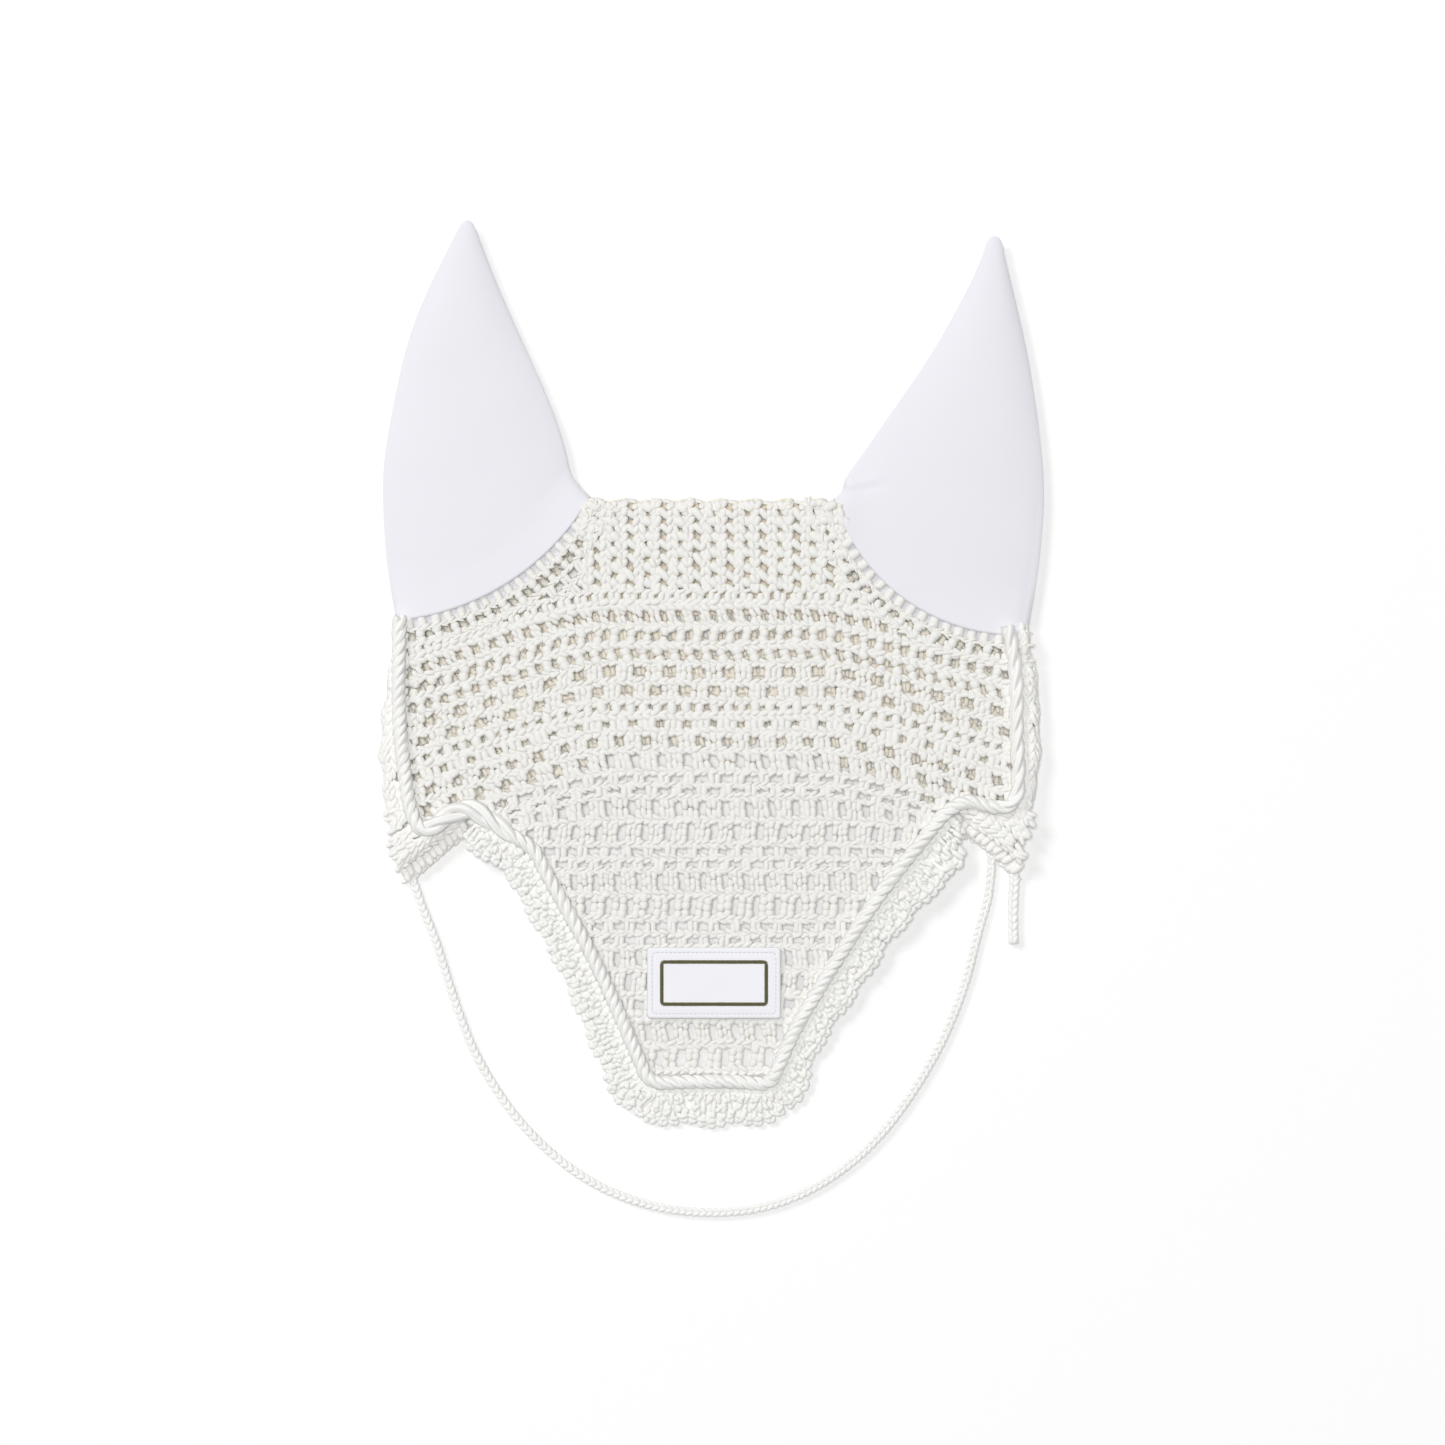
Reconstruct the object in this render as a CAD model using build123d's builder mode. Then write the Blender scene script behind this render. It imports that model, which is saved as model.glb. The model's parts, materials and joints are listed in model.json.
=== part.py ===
from build123d import *
from math import atan2, ceil, cos, degrees, hypot, pi, radians, sin, tan
import os

# Crocheted ear bonnet for a horse, lying flat with its face up. It is a flattened tube of
# openwork crochet, closed by a fold along the crown and by folds down both sides, and open at
# the bottom. Two cloth ear covers are sewn into it, a nose flap hangs from the forehead, a
# twisted rope is sewn along the edge of the face, and a thin throat cord joins the two tabs.
# +X is to the right as seen from above, +Y runs from nose to ears and +Z is up.

os.makedirs("parts", exist_ok=True)

# ---------------------------------------------------------------- driving dimensions, mm
# Fabric
crochet = 3.0  # thickness of the crochet
head_room = 6.0  # room between the back and the face when the tube lies flat
ear_cloth = 1.6  # thickness of the ear cloth
rope_d = 8.0  # twisted rope round the face
cord_d = 4.2  # throat cord
tail_d = 5.2  # loose end of the throat cord
seam_gap = 0.3  # between pieces sewn edge to edge
fold_gap = 0.3  # between two bodies along a fold line

# Crown band
crown_half = 66.0  # half its width, between the ears
crown_top = 94.0  # the fold over the poll
crown_drop = 49.0  # from the fold to the band's lower edge

# Ear covers
ear_seam_out = 3.0  # outer end of the seam that holds an ear, outside the rope's middle
ear_seam_y = 27.0
ear_seam_sag = 20.0  # how far that seam bows away from its chord
ear_fold_rise = 4.0  # the ear folds along a line this far above the chord
ear_belly_y = 98.0  # widest place of an ear, as wide as the sides
ear_low_bow = 3.0  # bow of the outer edge below the belly
ear_rim = 3.0  # closed edge of an ear
ear_tip_radius = 3.0
ear_foot_out = 8.0  # where the inner edge stands on its foot, outside the crown band
ear_foot_rise = 11.0
left_tip_in = 34.0  # tip of the left ear, inside the rope's middle
left_tip_y = 240.5
left_outer_bow = 15.0  # bow of the outer edge above the belly
left_inner_bow = 4.0  # bow of the inner edge
right_tip_in = 15.0
right_tip_y = 232.0
right_outer_bow = 5.0
right_inner_bow = -2.0

# Face
rope_half = 164.0  # middle of the rope at the side
edging_width = 7.5  # crocheted edging outside the rope
arch_in = 33.0  # tops of the two arches beside the nose, inside the rope's middle
arch_y = -71.5
arch_flat = 6.0  # level part of the rope on either side of an arch top
lobe_share = 2 / 3  # lowest point of the rope, as a share of the way from arch to hip
lobe_y = -79.0
hip_in = 4.5  # where the rope leaves the side
hip_y = -66.0
tab_in = 4.0  # points of the two tabs, inside the rope's middle
tab_y = -108.0
tab_shoulder = 17.0  # height above the point at which a tab starts to narrow
tab_shoulder_in = 3.0
tab_slit = 14.5  # free height of the tab beside the nose lace
tab_bevel = 12.0  # length over which a tab thins out to its point
tab_edge = 4.4  # what is left of its thickness there
back_arch_y = -34.0  # top of the arch in the lower edge of the back

# Nose flap
fold_y = -62.0  # line along which the nose flap lifts
shoulder_in = 16.0  # where the rope turns down beside the nose, in from the arch's top
shoulder_drop = 15.0
cheek_in = 34.0
cheek_drop = 34.0
nose_half = 36.5  # middle of the rope at the bottom corners
nose_drop = 152.5
nose_corner = 10.0  # radius of the rope there
lace_band = 9.0  # plain part of the lace edging
shell_radius = 11.5  # one scallop of it
shell_pitch = 24.0
lace = 2.4  # thickness of the lace

# Label patch, blank
patch_width = 71.0
patch_height = 38.0
patch_drop = 101.0  # its middle, below the fold of the nose flap
patch_cloth = 1.2
patch_corner = 2.0
frame_inset = 7.0  # stitched frame, in from the edge
frame_width = 1.6
frame_height = 0.5

# Openwork
mesh_edge = 3.4  # solid crochet between a hole and the edge of a panel
face_row_flat = 74.0  # the rows of the face run level this far from the middle
face_row_fall = 0.27  # and fall away beyond it by this slope
crown_pitch_x = 17.6
crown_pitch_y = 8.1
crown_hole_w = 4.0
crown_hole_h = 5.0
seam_pitch = 8.8  # row of holes that follows the seam of an ear
seam_hole_w = 3.6
seam_hole_h = 5.2
back_pitch = 22.0
back_hole = 10.0
back_rows = 6

# ---------------------------------------------------------------- places worked out from them
front_z = crochet + head_room  # underside of the face
top_z = front_z + crochet
rope_r = rope_d / 2
rope_z = front_z + rope_r
channel = rope_d + 2 * seam_gap  # room that the rope takes between panel and edging
side_outer = rope_half + rope_r + edging_width
wall = crochet + fold_gap  # of a side edging, round its fold
ear_seam_x = rope_half + ear_seam_out
hip_x = rope_half - hip_in
arch_half = rope_half - arch_in
lobe_x = arch_half + lobe_share * (hip_x - arch_half)
tab_x = rope_half - tab_in
shoulder_x = arch_half - shoulder_in
cheek_x = arch_half - cheek_in
crown_low = crown_top - crown_drop
nose_length = nose_drop + rope_r + lace_band + shell_radius
nose_slope = degrees(atan2(front_z, nose_length))
nose_plane = Plane(
    origin=(0, fold_y, front_z),
    x_dir=(1, 0, 0),
    z_dir=(0, -sin(radians(nose_slope)), cos(radians(nose_slope))),
)


def mirrored(points, side):
    """Points of one half, on the side that is asked for."""
    return [(side * point[0], *point[1:]) for point in points]


def both_halves(points):
    """A route over the middle, from the points of its right half."""
    return mirrored(points, -1) + list(reversed(points))


def route_radii(points):
    """For each corner, 0.45 of the shorter run over the tangent of half the turn."""
    radii = []
    for a, b, c in zip(points, points[1:], points[2:]):
        first, second = hypot(b[0] - a[0], b[1] - a[1]), hypot(c[0] - b[0], c[1] - b[1])
        turn = atan2(c[1] - b[1], c[0] - b[0]) - atan2(b[1] - a[1], b[0] - a[0])
        turn = abs(atan2(sin(turn), cos(turn)))
        radii.append(0.45 * min(first, second) / tan(turn / 2))
    return radii


# Seam of an ear: an arc over a chord from the crown to the side.
chord = (ear_seam_x - crown_half, ear_seam_y - crown_top)
chord_length = hypot(*chord)
fold_normal = (-chord[1] / chord_length, chord[0] / chord_length)
chord_middle = ((ear_seam_x + crown_half) / 2, (ear_seam_y + crown_top) / 2)
seam_radius = (chord_length**2 / 4 + ear_seam_sag**2) / (2 * ear_seam_sag)
seam_middle = (
    chord_middle[0] - fold_normal[0] * ear_seam_sag,
    chord_middle[1] - fold_normal[1] * ear_seam_sag,
)
seam_centre = (
    seam_middle[0] + fold_normal[0] * seam_radius,
    seam_middle[1] + fold_normal[1] * seam_radius,
)


def bowed(a, b, bow):
    """Middle of an arc from a to b that bows to the right of the way there."""
    length = hypot(b[0] - a[0], b[1] - a[1])
    return (
        (a[0] + b[0]) / 2 + (b[1] - a[1]) / length * bow,
        (a[1] + b[1]) / 2 - (b[0] - a[0]) / length * bow,
    )


# Middle of the rope, right half: down the side, round the lobe and up to the arch.
rope_side = [
    (rope_half, ear_seam_y - 2 * seam_gap),
    (rope_half, fold_y / 2),
    (hip_x, hip_y),
    (lobe_x, lobe_y),
    (arch_half + arch_flat, arch_y),
    (arch_half, arch_y),
]
rope_side_radii = route_radii(rope_side)
# The same on the nose flap, measured in its own plane from the fold.
rope_nose_side = [
    (arch_half - fold_gap, arch_y - fold_y),
    (arch_half - arch_flat, arch_y - fold_y),
    (shoulder_x, -shoulder_drop),
    (cheek_x, -cheek_drop),
    (nose_half, -nose_drop),
]
rope_nose_radii = route_radii(both_halves(rope_nose_side))
rope_nose_radii[3:5] = [nose_corner, nose_corner]


def face_row_height(y, x):
    """Height of a row of the face that crosses the middle at y."""
    return y - face_row_fall * max(0.0, abs(x) - face_row_flat)


def along(points, x_is, value):
    """The other coordinate of a route of straight runs, where one coordinate is given."""
    own, other = (0, 1) if x_is else (1, 0)
    for a, b in zip(points, points[1:]):
        low, high = min(a[own], b[own]), max(a[own], b[own])
        if low <= value <= high and high > low:
            share = (value - a[own]) / (b[own] - a[own])
            return a[other] + share * (b[other] - a[other])
    return points[-1][other]


def in_face(x, y, w, h):
    """True where a hole of this size is inside the face panel."""
    reach_x, reach_y = abs(x) + w / 2 + mesh_edge, h / 2 + mesh_edge
    if reach_x > along(rope_side[:4], False, max(y - h / 2, lobe_y)) - channel / 2:
        return False
    to_seam = hypot(seam_centre[0] - abs(x) - w / 2, seam_centre[1] - y - h / 2) - seam_radius
    if reach_x > crown_half and to_seam < 2 * mesh_edge + seam_hole_h:
        return False
    if reach_x > crown_half > reach_x - w - 2 * mesh_edge and y + reach_y > crown_low:
        return False
    if reach_x < crown_half and y + reach_y > crown_low:
        return False
    if reach_x > arch_half:
        lobe = along(rope_side[3:], True, min(reach_x, lobe_x))
        return y - reach_y > lobe + channel
    return y - reach_y > fold_y


def row_places(pitch, half, offset_by_half):
    """Places along a row, alike on both sides of the middle."""
    count = ceil(half / pitch) + 1
    shift = pitch / 2 if offset_by_half else 0.0
    places = [shift + pitch * i for i in range(count)]
    return sorted({-p for p in places} | set(places))


# Rows of the face from the crown down: height at the middle, pitch, hole width and height,
# and whether the row is offset by half a pitch.
face_rows = [
    (31.5, 15.8, 4.4, 6.2, False),
    (21.2, 15.8, 4.4, 5.8, True),
    (11.0, 15.8, 4.4, 6.0, False),
    (1.6, 15.8, 6.4, 6.4, True),
    (-8.4, 15.4, 5.8, 5.8, False),
    (-20.0, 15.4, 5.8, 4.4, True),
    (-34.0, 14.8, 4.8, 5.8, False),
    (-44.8, 14.8, 4.8, 7.4, True),
    (-54.8, 14.8, 6.8, 4.0, False),
]
# Rows of the nose from the fold down: drop, pitch, hole width and height, offset.
nose_rows = [
    (9.0, 14.8, 3.6, 9.0, True),
    (21.2, 14.8, 3.6, 9.4, False),
    (31.2, 14.8, 6.4, 4.4, True),
    (38.4, 14.8, 6.4, 4.4, False),
    (47.4, 14.8, 3.6, 9.4, True),
    (60.0, 14.8, 3.6, 9.8, False),
    (70.4, 14.8, 6.4, 4.4, True),
    (77.6, 14.8, 6.4, 4.4, False),
    (88.0, 14.8, 3.6, 8.8, True),
    (100.4, 14.8, 3.6, 9.4, False),
    (111.6, 14.8, 6.4, 4.4, True),
    (127.0, 14.8, 3.6, 9.0, False),
    (139.4, 14.8, 3.8, 9.4, True),
]

# ---------------------------------------------------------------- outlines used more than once
with BuildSketch() as face_outline:
    # everything inside the middle of the rope, down to the fold of the nose flap
    with BuildLine():
        FilletPolyline(*mirrored(rope_side, -1), radius=rope_side_radii)
        Line((-arch_half, arch_y), (-arch_half, fold_y))
        Line((-arch_half, fold_y), (arch_half, fold_y))
        Line((arch_half, fold_y), (arch_half, arch_y))
        FilletPolyline(*rope_side, radius=rope_side_radii)
        Line((rope_half, rope_side[0][1]), (rope_half, crown_top))
        Line((rope_half, crown_top), (-rope_half, crown_top))
        Line((-rope_half, crown_top), (-rope_half, rope_side[0][1]))
    make_face()

with BuildSketch() as rope_channel:
    for side in (-1, 1):
        with BuildLine():
            FilletPolyline(*mirrored(rope_side, side), radius=rope_side_radii)
        trace(line_width=channel)

with BuildSketch() as ear_holes:
    # the two places that the ears are sewn into, with everything above them
    for side in (-1, 1):
        with BuildLine():
            ThreePointArc(
                (side * crown_half, crown_top),
                (side * seam_middle[0], seam_middle[1]),
                (side * ear_seam_x, ear_seam_y),
            )
            Polyline(
                (side * ear_seam_x, ear_seam_y),
                (side * (side_outer + ear_rim), ear_seam_y),
                (side * (side_outer + ear_rim), crown_top),
                (side * crown_half, crown_top),
            )
        make_face()
    offset(amount=seam_gap)

with BuildSketch() as crown_place:
    with Locations((0, (crown_top + crown_low) / 2)):
        Rectangle(2 * (crown_half + seam_gap), crown_drop + 2 * seam_gap)

# ---------------------------------------------------------------- face of the head tube
with BuildPart() as forehead_panel:
    with BuildSketch(Plane.XY.offset(front_z)):
        add(face_outline.sketch)
        add(rope_channel.sketch, mode=Mode.SUBTRACT)
        add(ear_holes.sketch, mode=Mode.SUBTRACT)
        add(crown_place.sketch, mode=Mode.SUBTRACT)
        with Locations((0, fold_y)):
            Rectangle(2 * arch_half, fold_gap, mode=Mode.SUBTRACT)
        for row_y, pitch, hole_w, hole_h, offset_row in face_rows:
            holes = [
                (x, face_row_height(row_y, x))
                for x in row_places(pitch, rope_half, offset_row)
                if in_face(x, face_row_height(row_y, x), hole_w, hole_h)
            ]
            with Locations(*holes):
                Rectangle(hole_w, hole_h, mode=Mode.SUBTRACT)
        # one row follows the seam of each ear
        seam_row_radius = seam_radius + mesh_edge + seam_hole_h / 2
        seam_from = degrees(atan2(crown_low - seam_centre[1], crown_half - seam_centre[0]))
        seam_count = int(radians(-90 - seam_from) * seam_row_radius // seam_pitch)
        seam_step = degrees(seam_pitch / seam_row_radius)
        for side in (-1, 1):
            with Locations((side * seam_centre[0], seam_centre[1])):
                with PolarLocations(
                    seam_row_radius,
                    seam_count,
                    start_angle=-90 + side * seam_step / 2,
                    angular_range=-side * seam_step * (seam_count - 1),
                    endpoint=True,
                ):
                    Rectangle(seam_hole_h, seam_hole_w, mode=Mode.SUBTRACT)
    extrude(amount=crochet)
forehead_panel.part.label = "forehead_panel"
export_step(forehead_panel.part, "parts/forehead_panel.step")

# ---------------------------------------------------------------- back of the head tube
with BuildPart() as back_panel:
    with BuildSketch():
        add(face_outline.sketch)
        with Locations((0, (ear_seam_y + fold_y) / 2)):
            Rectangle(2 * (side_outer - wall - seam_gap), ear_seam_y - fold_y - 2 * wall)
        add(ear_holes.sketch, mode=Mode.SUBTRACT)
        add(crown_place.sketch, mode=Mode.SUBTRACT)
        with BuildLine():
            ThreePointArc((-arch_half, lobe_y), (0, back_arch_y), (arch_half, lobe_y))
            Polyline(
                (arch_half, lobe_y),
                (arch_half, tab_y),
                (-arch_half, tab_y),
                (-arch_half, lobe_y),
            )
        make_face(mode=Mode.SUBTRACT)
        for row_y in [crown_low - mesh_edge - back_pitch * (i + 0.5) for i in range(back_rows)]:
            holes = [
                (x, face_row_height(row_y, x))
                for x in row_places(back_pitch, rope_half, True)
                if in_face(x, face_row_height(row_y, x), back_hole, back_hole)
                and face_row_height(row_y, x) - back_hole
                > back_arch_y + (lobe_y - back_arch_y) * (x / arch_half) ** 2
            ]
            with Locations(*holes):
                Rectangle(back_hole, back_hole, mode=Mode.SUBTRACT)
    extrude(amount=crochet)
back_panel.part.label = "back_panel"
export_step(back_panel.part, "parts/back_panel.step")

# ---------------------------------------------------------------- crown band, folded over the poll
with BuildPart() as crown_band:
    fold_r = top_z / 2
    with BuildSketch(Plane.YZ.offset(-crown_half)):
        with BuildLine():
            Line((crown_low, 0), (crown_top - fold_r, 0))
            ThreePointArc(
                (crown_top - fold_r, 0), (crown_top, fold_r), (crown_top - fold_r, top_z)
            )
            Line((crown_top - fold_r, top_z), (crown_low, top_z))
            Line((crown_low, top_z), (crown_low, front_z))
            Line((crown_low, front_z), (crown_top - fold_r, front_z))
            ThreePointArc(
                (crown_top - fold_r, front_z),
                (crown_top - crochet, fold_r),
                (crown_top - fold_r, crochet),
            )
            Line((crown_top - fold_r, crochet), (crown_low, crochet))
            Line((crown_low, crochet), (crown_low, 0))
        make_face()
    extrude(amount=2 * crown_half)
    crown_columns = int((2 * crown_half - 2 * mesh_edge) // crown_pitch_x)
    crown_rows = int((crown_drop - fold_r - mesh_edge) // crown_pitch_y)
    crown_mesh_y = crown_low + mesh_edge + crown_rows * crown_pitch_y / 2
    with BuildSketch(Plane.XY):
        with Locations((0, crown_mesh_y)):
            with GridLocations(crown_pitch_x, crown_pitch_y, crown_columns, crown_rows):
                Rectangle(crown_hole_w, crown_hole_h)
    extrude(amount=top_z, mode=Mode.SUBTRACT)
crown_band.part.label = "crown_band"
export_step(crown_band.part, "parts/crown_band.step")

# ---------------------------------------------------------------- nose flap, in its own plane
with BuildSketch() as nose_outline:
    with BuildLine():
        FilletPolyline(*both_halves(rope_nose_side), radius=rope_nose_radii)
        Polyline(
            (arch_half - fold_gap, arch_y - fold_y),
            (arch_half - fold_gap, 0),
            (fold_gap - arch_half, 0),
            (fold_gap - arch_half, arch_y - fold_y),
        )
    make_face()


def nose_half_at(drop):
    """Half the width of the nose between the middles of the rope, at this drop."""
    return along(rope_nose_side, False, -drop) if drop > fold_y - arch_y else arch_half


with BuildPart() as nose_panel:
    with BuildSketch(nose_plane):
        add(nose_outline.sketch)
        with BuildLine():
            FilletPolyline(*both_halves(rope_nose_side), radius=rope_nose_radii)
        trace(line_width=channel, mode=Mode.SUBTRACT)
        Rectangle(2 * arch_half, fold_gap, mode=Mode.SUBTRACT)
        for drop, pitch, hole_w, hole_h, offset_row in nose_rows:
            half = nose_half_at(drop + hole_h / 2) - channel / 2 - mesh_edge
            clear = patch_width / 2 if abs(drop - patch_drop) < patch_height / 2 else 0.0
            holes = [
                (x, -drop)
                for x in row_places(pitch, half, offset_row)
                if abs(x) + hole_w / 2 < half
                and abs(x) - hole_w / 2 >= clear
                and drop + hole_h / 2 + mesh_edge < nose_drop - channel / 2
            ]
            if holes:
                with Locations(*holes):
                    Rectangle(hole_w, hole_h, mode=Mode.SUBTRACT)
    extrude(amount=crochet)
nose_panel.part.label = "nose_panel"
export_step(nose_panel.part, "parts/nose_panel.step")

# Scalloped lace outside the rope of the nose: a plain band with shells along its edge.
shell_middle = rope_r + lace_band


def shells_along(a, b, count):
    """Centres of shells beside a straight run of the rope, on its outer side."""
    length = hypot(b[0] - a[0], b[1] - a[1])
    normal = ((b[1] - a[1]) / length, (a[0] - b[0]) / length)
    centres = []
    for i in range(count):
        share = (i + 0.5) / count
        centres.append(
            (
                a[0] + share * (b[0] - a[0]) + normal[0] * shell_middle,
                a[1] + share * (b[1] - a[1]) + normal[1] * shell_middle,
            )
        )
    return centres


shoulder, cheek, corner = rope_nose_side[-3:]
side_count = round(hypot(cheek[0] - corner[0], cheek[1] - corner[1]) / shell_pitch)
low_count = round((2 * nose_half + shell_pitch) / shell_pitch)
side_shells = shells_along(corner, cheek, side_count) + shells_along(cheek, shoulder, 1)
with BuildSketch() as rope_outer:
    add(nose_outline.sketch)
    offset(amount=channel / 2)
with BuildPart() as nose_lace:
    with BuildSketch(nose_plane):
        add(nose_outline.sketch)
        offset(amount=shell_middle)
        for side in (-1, 1):
            with Locations(*mirrored(side_shells, side)):
                Circle(shell_radius)
        with Locations((0, -nose_drop - shell_middle)):
            with GridLocations(shell_pitch, 1, low_count, 1):
                Circle(shell_radius)
        add(rope_outer.sketch, mode=Mode.SUBTRACT)
        for side in (-1, 1):
            with Locations((side * arch_half, -nose_drop / 2)):
                Rectangle(
                    nose_half,
                    2 * nose_length,
                    align=(Align.MIN if side > 0 else Align.MAX, Align.CENTER),
                    mode=Mode.SUBTRACT,
                )
        Rectangle(2 * side_outer, 2 * (fold_y - arch_y + rope_r), mode=Mode.SUBTRACT)
    extrude(amount=lace)
nose_lace.part.label = "nose_lace"
export_step(nose_lace.part, "parts/nose_lace.step")

# Blank patch with a stitched frame.
patch_z = crochet + seam_gap / 3
with BuildPart() as label_patch:
    with BuildSketch(nose_plane.offset(patch_z)):
        with Locations((0, -patch_drop)):
            RectangleRounded(patch_width, patch_height, patch_corner)
    extrude(amount=patch_cloth)
label_patch.part.label = "label_patch"
export_step(label_patch.part, "parts/label_patch.step")

with BuildPart() as label_frame:
    with BuildSketch(nose_plane.offset(patch_z + patch_cloth)):
        with Locations((0, -patch_drop)):
            Rectangle(patch_width - 2 * frame_inset, patch_height - 2 * frame_inset)
            Rectangle(
                patch_width - 2 * (frame_inset + frame_width),
                patch_height - 2 * (frame_inset + frame_width),
                mode=Mode.SUBTRACT,
            )
    extrude(amount=frame_height)
label_frame.part.label = "label_frame"
export_step(label_frame.part, "parts/label_frame.step")

# ---------------------------------------------------------------- rope round the face
# drawn with eight flats, in place of its strands
rope_sides = 8
rope_nose_plane = nose_plane.offset(rope_r)
with BuildPart() as rope_nose:
    with BuildLine(rope_nose_plane) as rope_nose_line:
        FilletPolyline(*both_halves(rope_nose_side), radius=rope_nose_radii)
    with BuildSketch(rope_nose_line.line ^ 0):
        RegularPolygon(rope_r, rope_sides, major_radius=False, rotation=180 / rope_sides)
    sweep()
rope_nose.part.label = "rope_nose"
export_step(rope_nose.part, "parts/rope_nose.step")

for side, side_name in ((-1, "left"), (1, "right")):
    with BuildPart() as side_rope:
        with BuildLine(Plane.XY.offset(rope_z)) as side_rope_line:
            FilletPolyline(*mirrored(rope_side, side), radius=rope_side_radii)
        with BuildSketch(side_rope_line.line ^ 0):
            RegularPolygon(rope_r, rope_sides, major_radius=False, rotation=180 / rope_sides)
        sweep()
    side_rope.part.label = f"rope_{side_name}"
    export_step(side_rope.part, f"parts/rope_{side_name}.step")

# ---------------------------------------------------------------- side edgings and tabs
for side, side_name in ((-1, "left"), (1, "right")):
    # the folded side, closed from the back to the face
    with BuildPart() as side_edging:
        with BuildSketch():
            with Locations((side * (rope_half + channel / 2), ear_seam_y - seam_gap)):
                Rectangle(
                    edging_width - seam_gap,
                    ear_seam_y - seam_gap - hip_y,
                    align=(Align.MIN if side > 0 else Align.MAX, Align.MAX),
                )
        extrude(amount=top_z)
        outer_edges = side_edging.edges().filter_by(Axis.Y).group_by(Axis.X)
        fillet(outer_edges[-1 if side > 0 else 0], radius=wall)
        with BuildSketch():
            with Locations((side * (side_outer - wall), ear_seam_y)):
                Rectangle(
                    edging_width,
                    ear_seam_y - fold_y + wall,
                    align=(Align.MAX if side > 0 else Align.MIN, Align.MAX),
                )
        extrude(amount=front_z, mode=Mode.SUBTRACT)
    side_edging.part.label = f"{side_name}_side_edging"
    export_step(side_edging.part, f"parts/{side_name}_side_edging.step")

    # the tab below it, both layers drawn together and thinned out to the point
    with BuildPart() as tab:
        with BuildSketch():
            with BuildLine():
                Polyline(
                    (side * rope_half, hip_y - seam_gap),
                    (side * side_outer, hip_y - seam_gap),
                    (side * (side_outer - tab_shoulder_in), tab_y + tab_shoulder),
                    (side * tab_x, tab_y),
                    (side * arch_half, arch_y - tab_slit),
                    (side * arch_half, arch_y),
                    (side * lobe_x, arch_y),
                    (side * rope_half, hip_y - seam_gap),
                )
            make_face()
            add(face_outline.sketch, mode=Mode.SUBTRACT)
            add(rope_channel.sketch, mode=Mode.SUBTRACT)
        extrude(amount=top_z)
        # the upper side slopes down to the free edge between the point and the slit
        edge_run = (tab_x - arch_half, tab_y - arch_y + tab_slit)
        edge_length = hypot(*edge_run)
        inward = (-edge_run[1] / edge_length * side, edge_run[0] / edge_length)
        slope = (top_z - tab_edge) / tab_bevel
        bevel_plane = Plane(
            origin=(side * tab_x, tab_y, tab_edge),
            z_dir=(-slope * inward[0], -slope * inward[1], 1),
        )
        split(bisect_by=bevel_plane, keep=Keep.BOTTOM)
    tab.part.label = f"{side_name}_tab"
    export_step(tab.part, f"parts/{side_name}_tab.step")

# ---------------------------------------------------------------- ear covers
ear_shapes = {
    "left": ((rope_half - left_tip_in, left_tip_y), left_outer_bow, left_inner_bow),
    "right": ((rope_half - right_tip_in, right_tip_y), right_outer_bow, right_inner_bow),
}
ear_root = (crown_half, crown_top)
ear_heel = (ear_seam_x, ear_seam_y)
ear_belly = (side_outer, ear_belly_y)
ear_foot = (crown_half + ear_foot_out, crown_top + ear_foot_rise)
fold_point = (
    chord_middle[0] + fold_normal[0] * ear_fold_rise,
    chord_middle[1] + fold_normal[1] * ear_fold_rise,
)
for side, side_name in ((-1, "left"), (1, "right")):
    tip, outer_bow, inner_bow = ear_shapes[side_name]
    fold_plane = Plane(
        origin=(side * fold_point[0], fold_point[1], 0),
        z_dir=(side * fold_normal[0], fold_normal[1], 0),
    )
    with BuildSketch() as ear_outline:
        with BuildLine():
            for a, b, bow in (
                (ear_root, ear_heel, ear_seam_sag),
                (ear_heel, ear_belly, ear_low_bow),
                (ear_belly, tip, outer_bow),
                (tip, ear_foot, inner_bow),
            ):
                ThreePointArc(*mirrored([a, bowed(a, b, bow), b], side))
            Line(*mirrored([ear_foot, ear_root], side))
        make_face()
    with BuildSketch() as ear_inside:
        add(ear_outline.sketch)
        offset(amount=-ear_rim)
    with BuildSketch() as ear_cut:
        add(ear_outline.sketch)
        fillet(ear_cut.vertices().sort_by(Axis.Y)[-1], radius=ear_tip_radius)

    for layer, layer_z in (("front", top_z - ear_cloth), ("back", 0.0)):
        with BuildPart() as ear_layer:
            with BuildSketch(Plane.XY.offset(layer_z)):
                add(ear_cut.sketch)
            extrude(amount=ear_cloth)
            split(bisect_by=fold_plane.offset(fold_gap / 2), keep=Keep.TOP)
        ear_layer.part.label = f"{side_name}_ear_{layer}"
        export_step(ear_layer.part, f"parts/{side_name}_ear_{layer}.step")

        with BuildPart() as ear_base:
            with BuildSketch(Plane.XY.offset(layer_z)):
                add(ear_cut.sketch)
            extrude(amount=ear_cloth)
            split(bisect_by=fold_plane.offset(-fold_gap / 2), keep=Keep.BOTTOM)
        ear_base.part.label = f"{side_name}_ear_base_{layer}"
        export_step(ear_base.part, f"parts/{side_name}_ear_base_{layer}.step")

    with BuildPart() as ear_seam:
        with BuildSketch(Plane.XY.offset(ear_cloth)):
            add(ear_cut.sketch)
            add(ear_inside.sketch, mode=Mode.SUBTRACT)
        extrude(amount=top_z - 2 * ear_cloth)
        split(bisect_by=fold_plane.offset(fold_gap / 2), keep=Keep.TOP)
    ear_seam.part.label = f"{side_name}_ear_seam"
    export_step(ear_seam.part, f"parts/{side_name}_ear_seam.step")

# ---------------------------------------------------------------- throat cord and its loose end
cord_z = cord_d / 2 + seam_gap / 3
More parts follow.
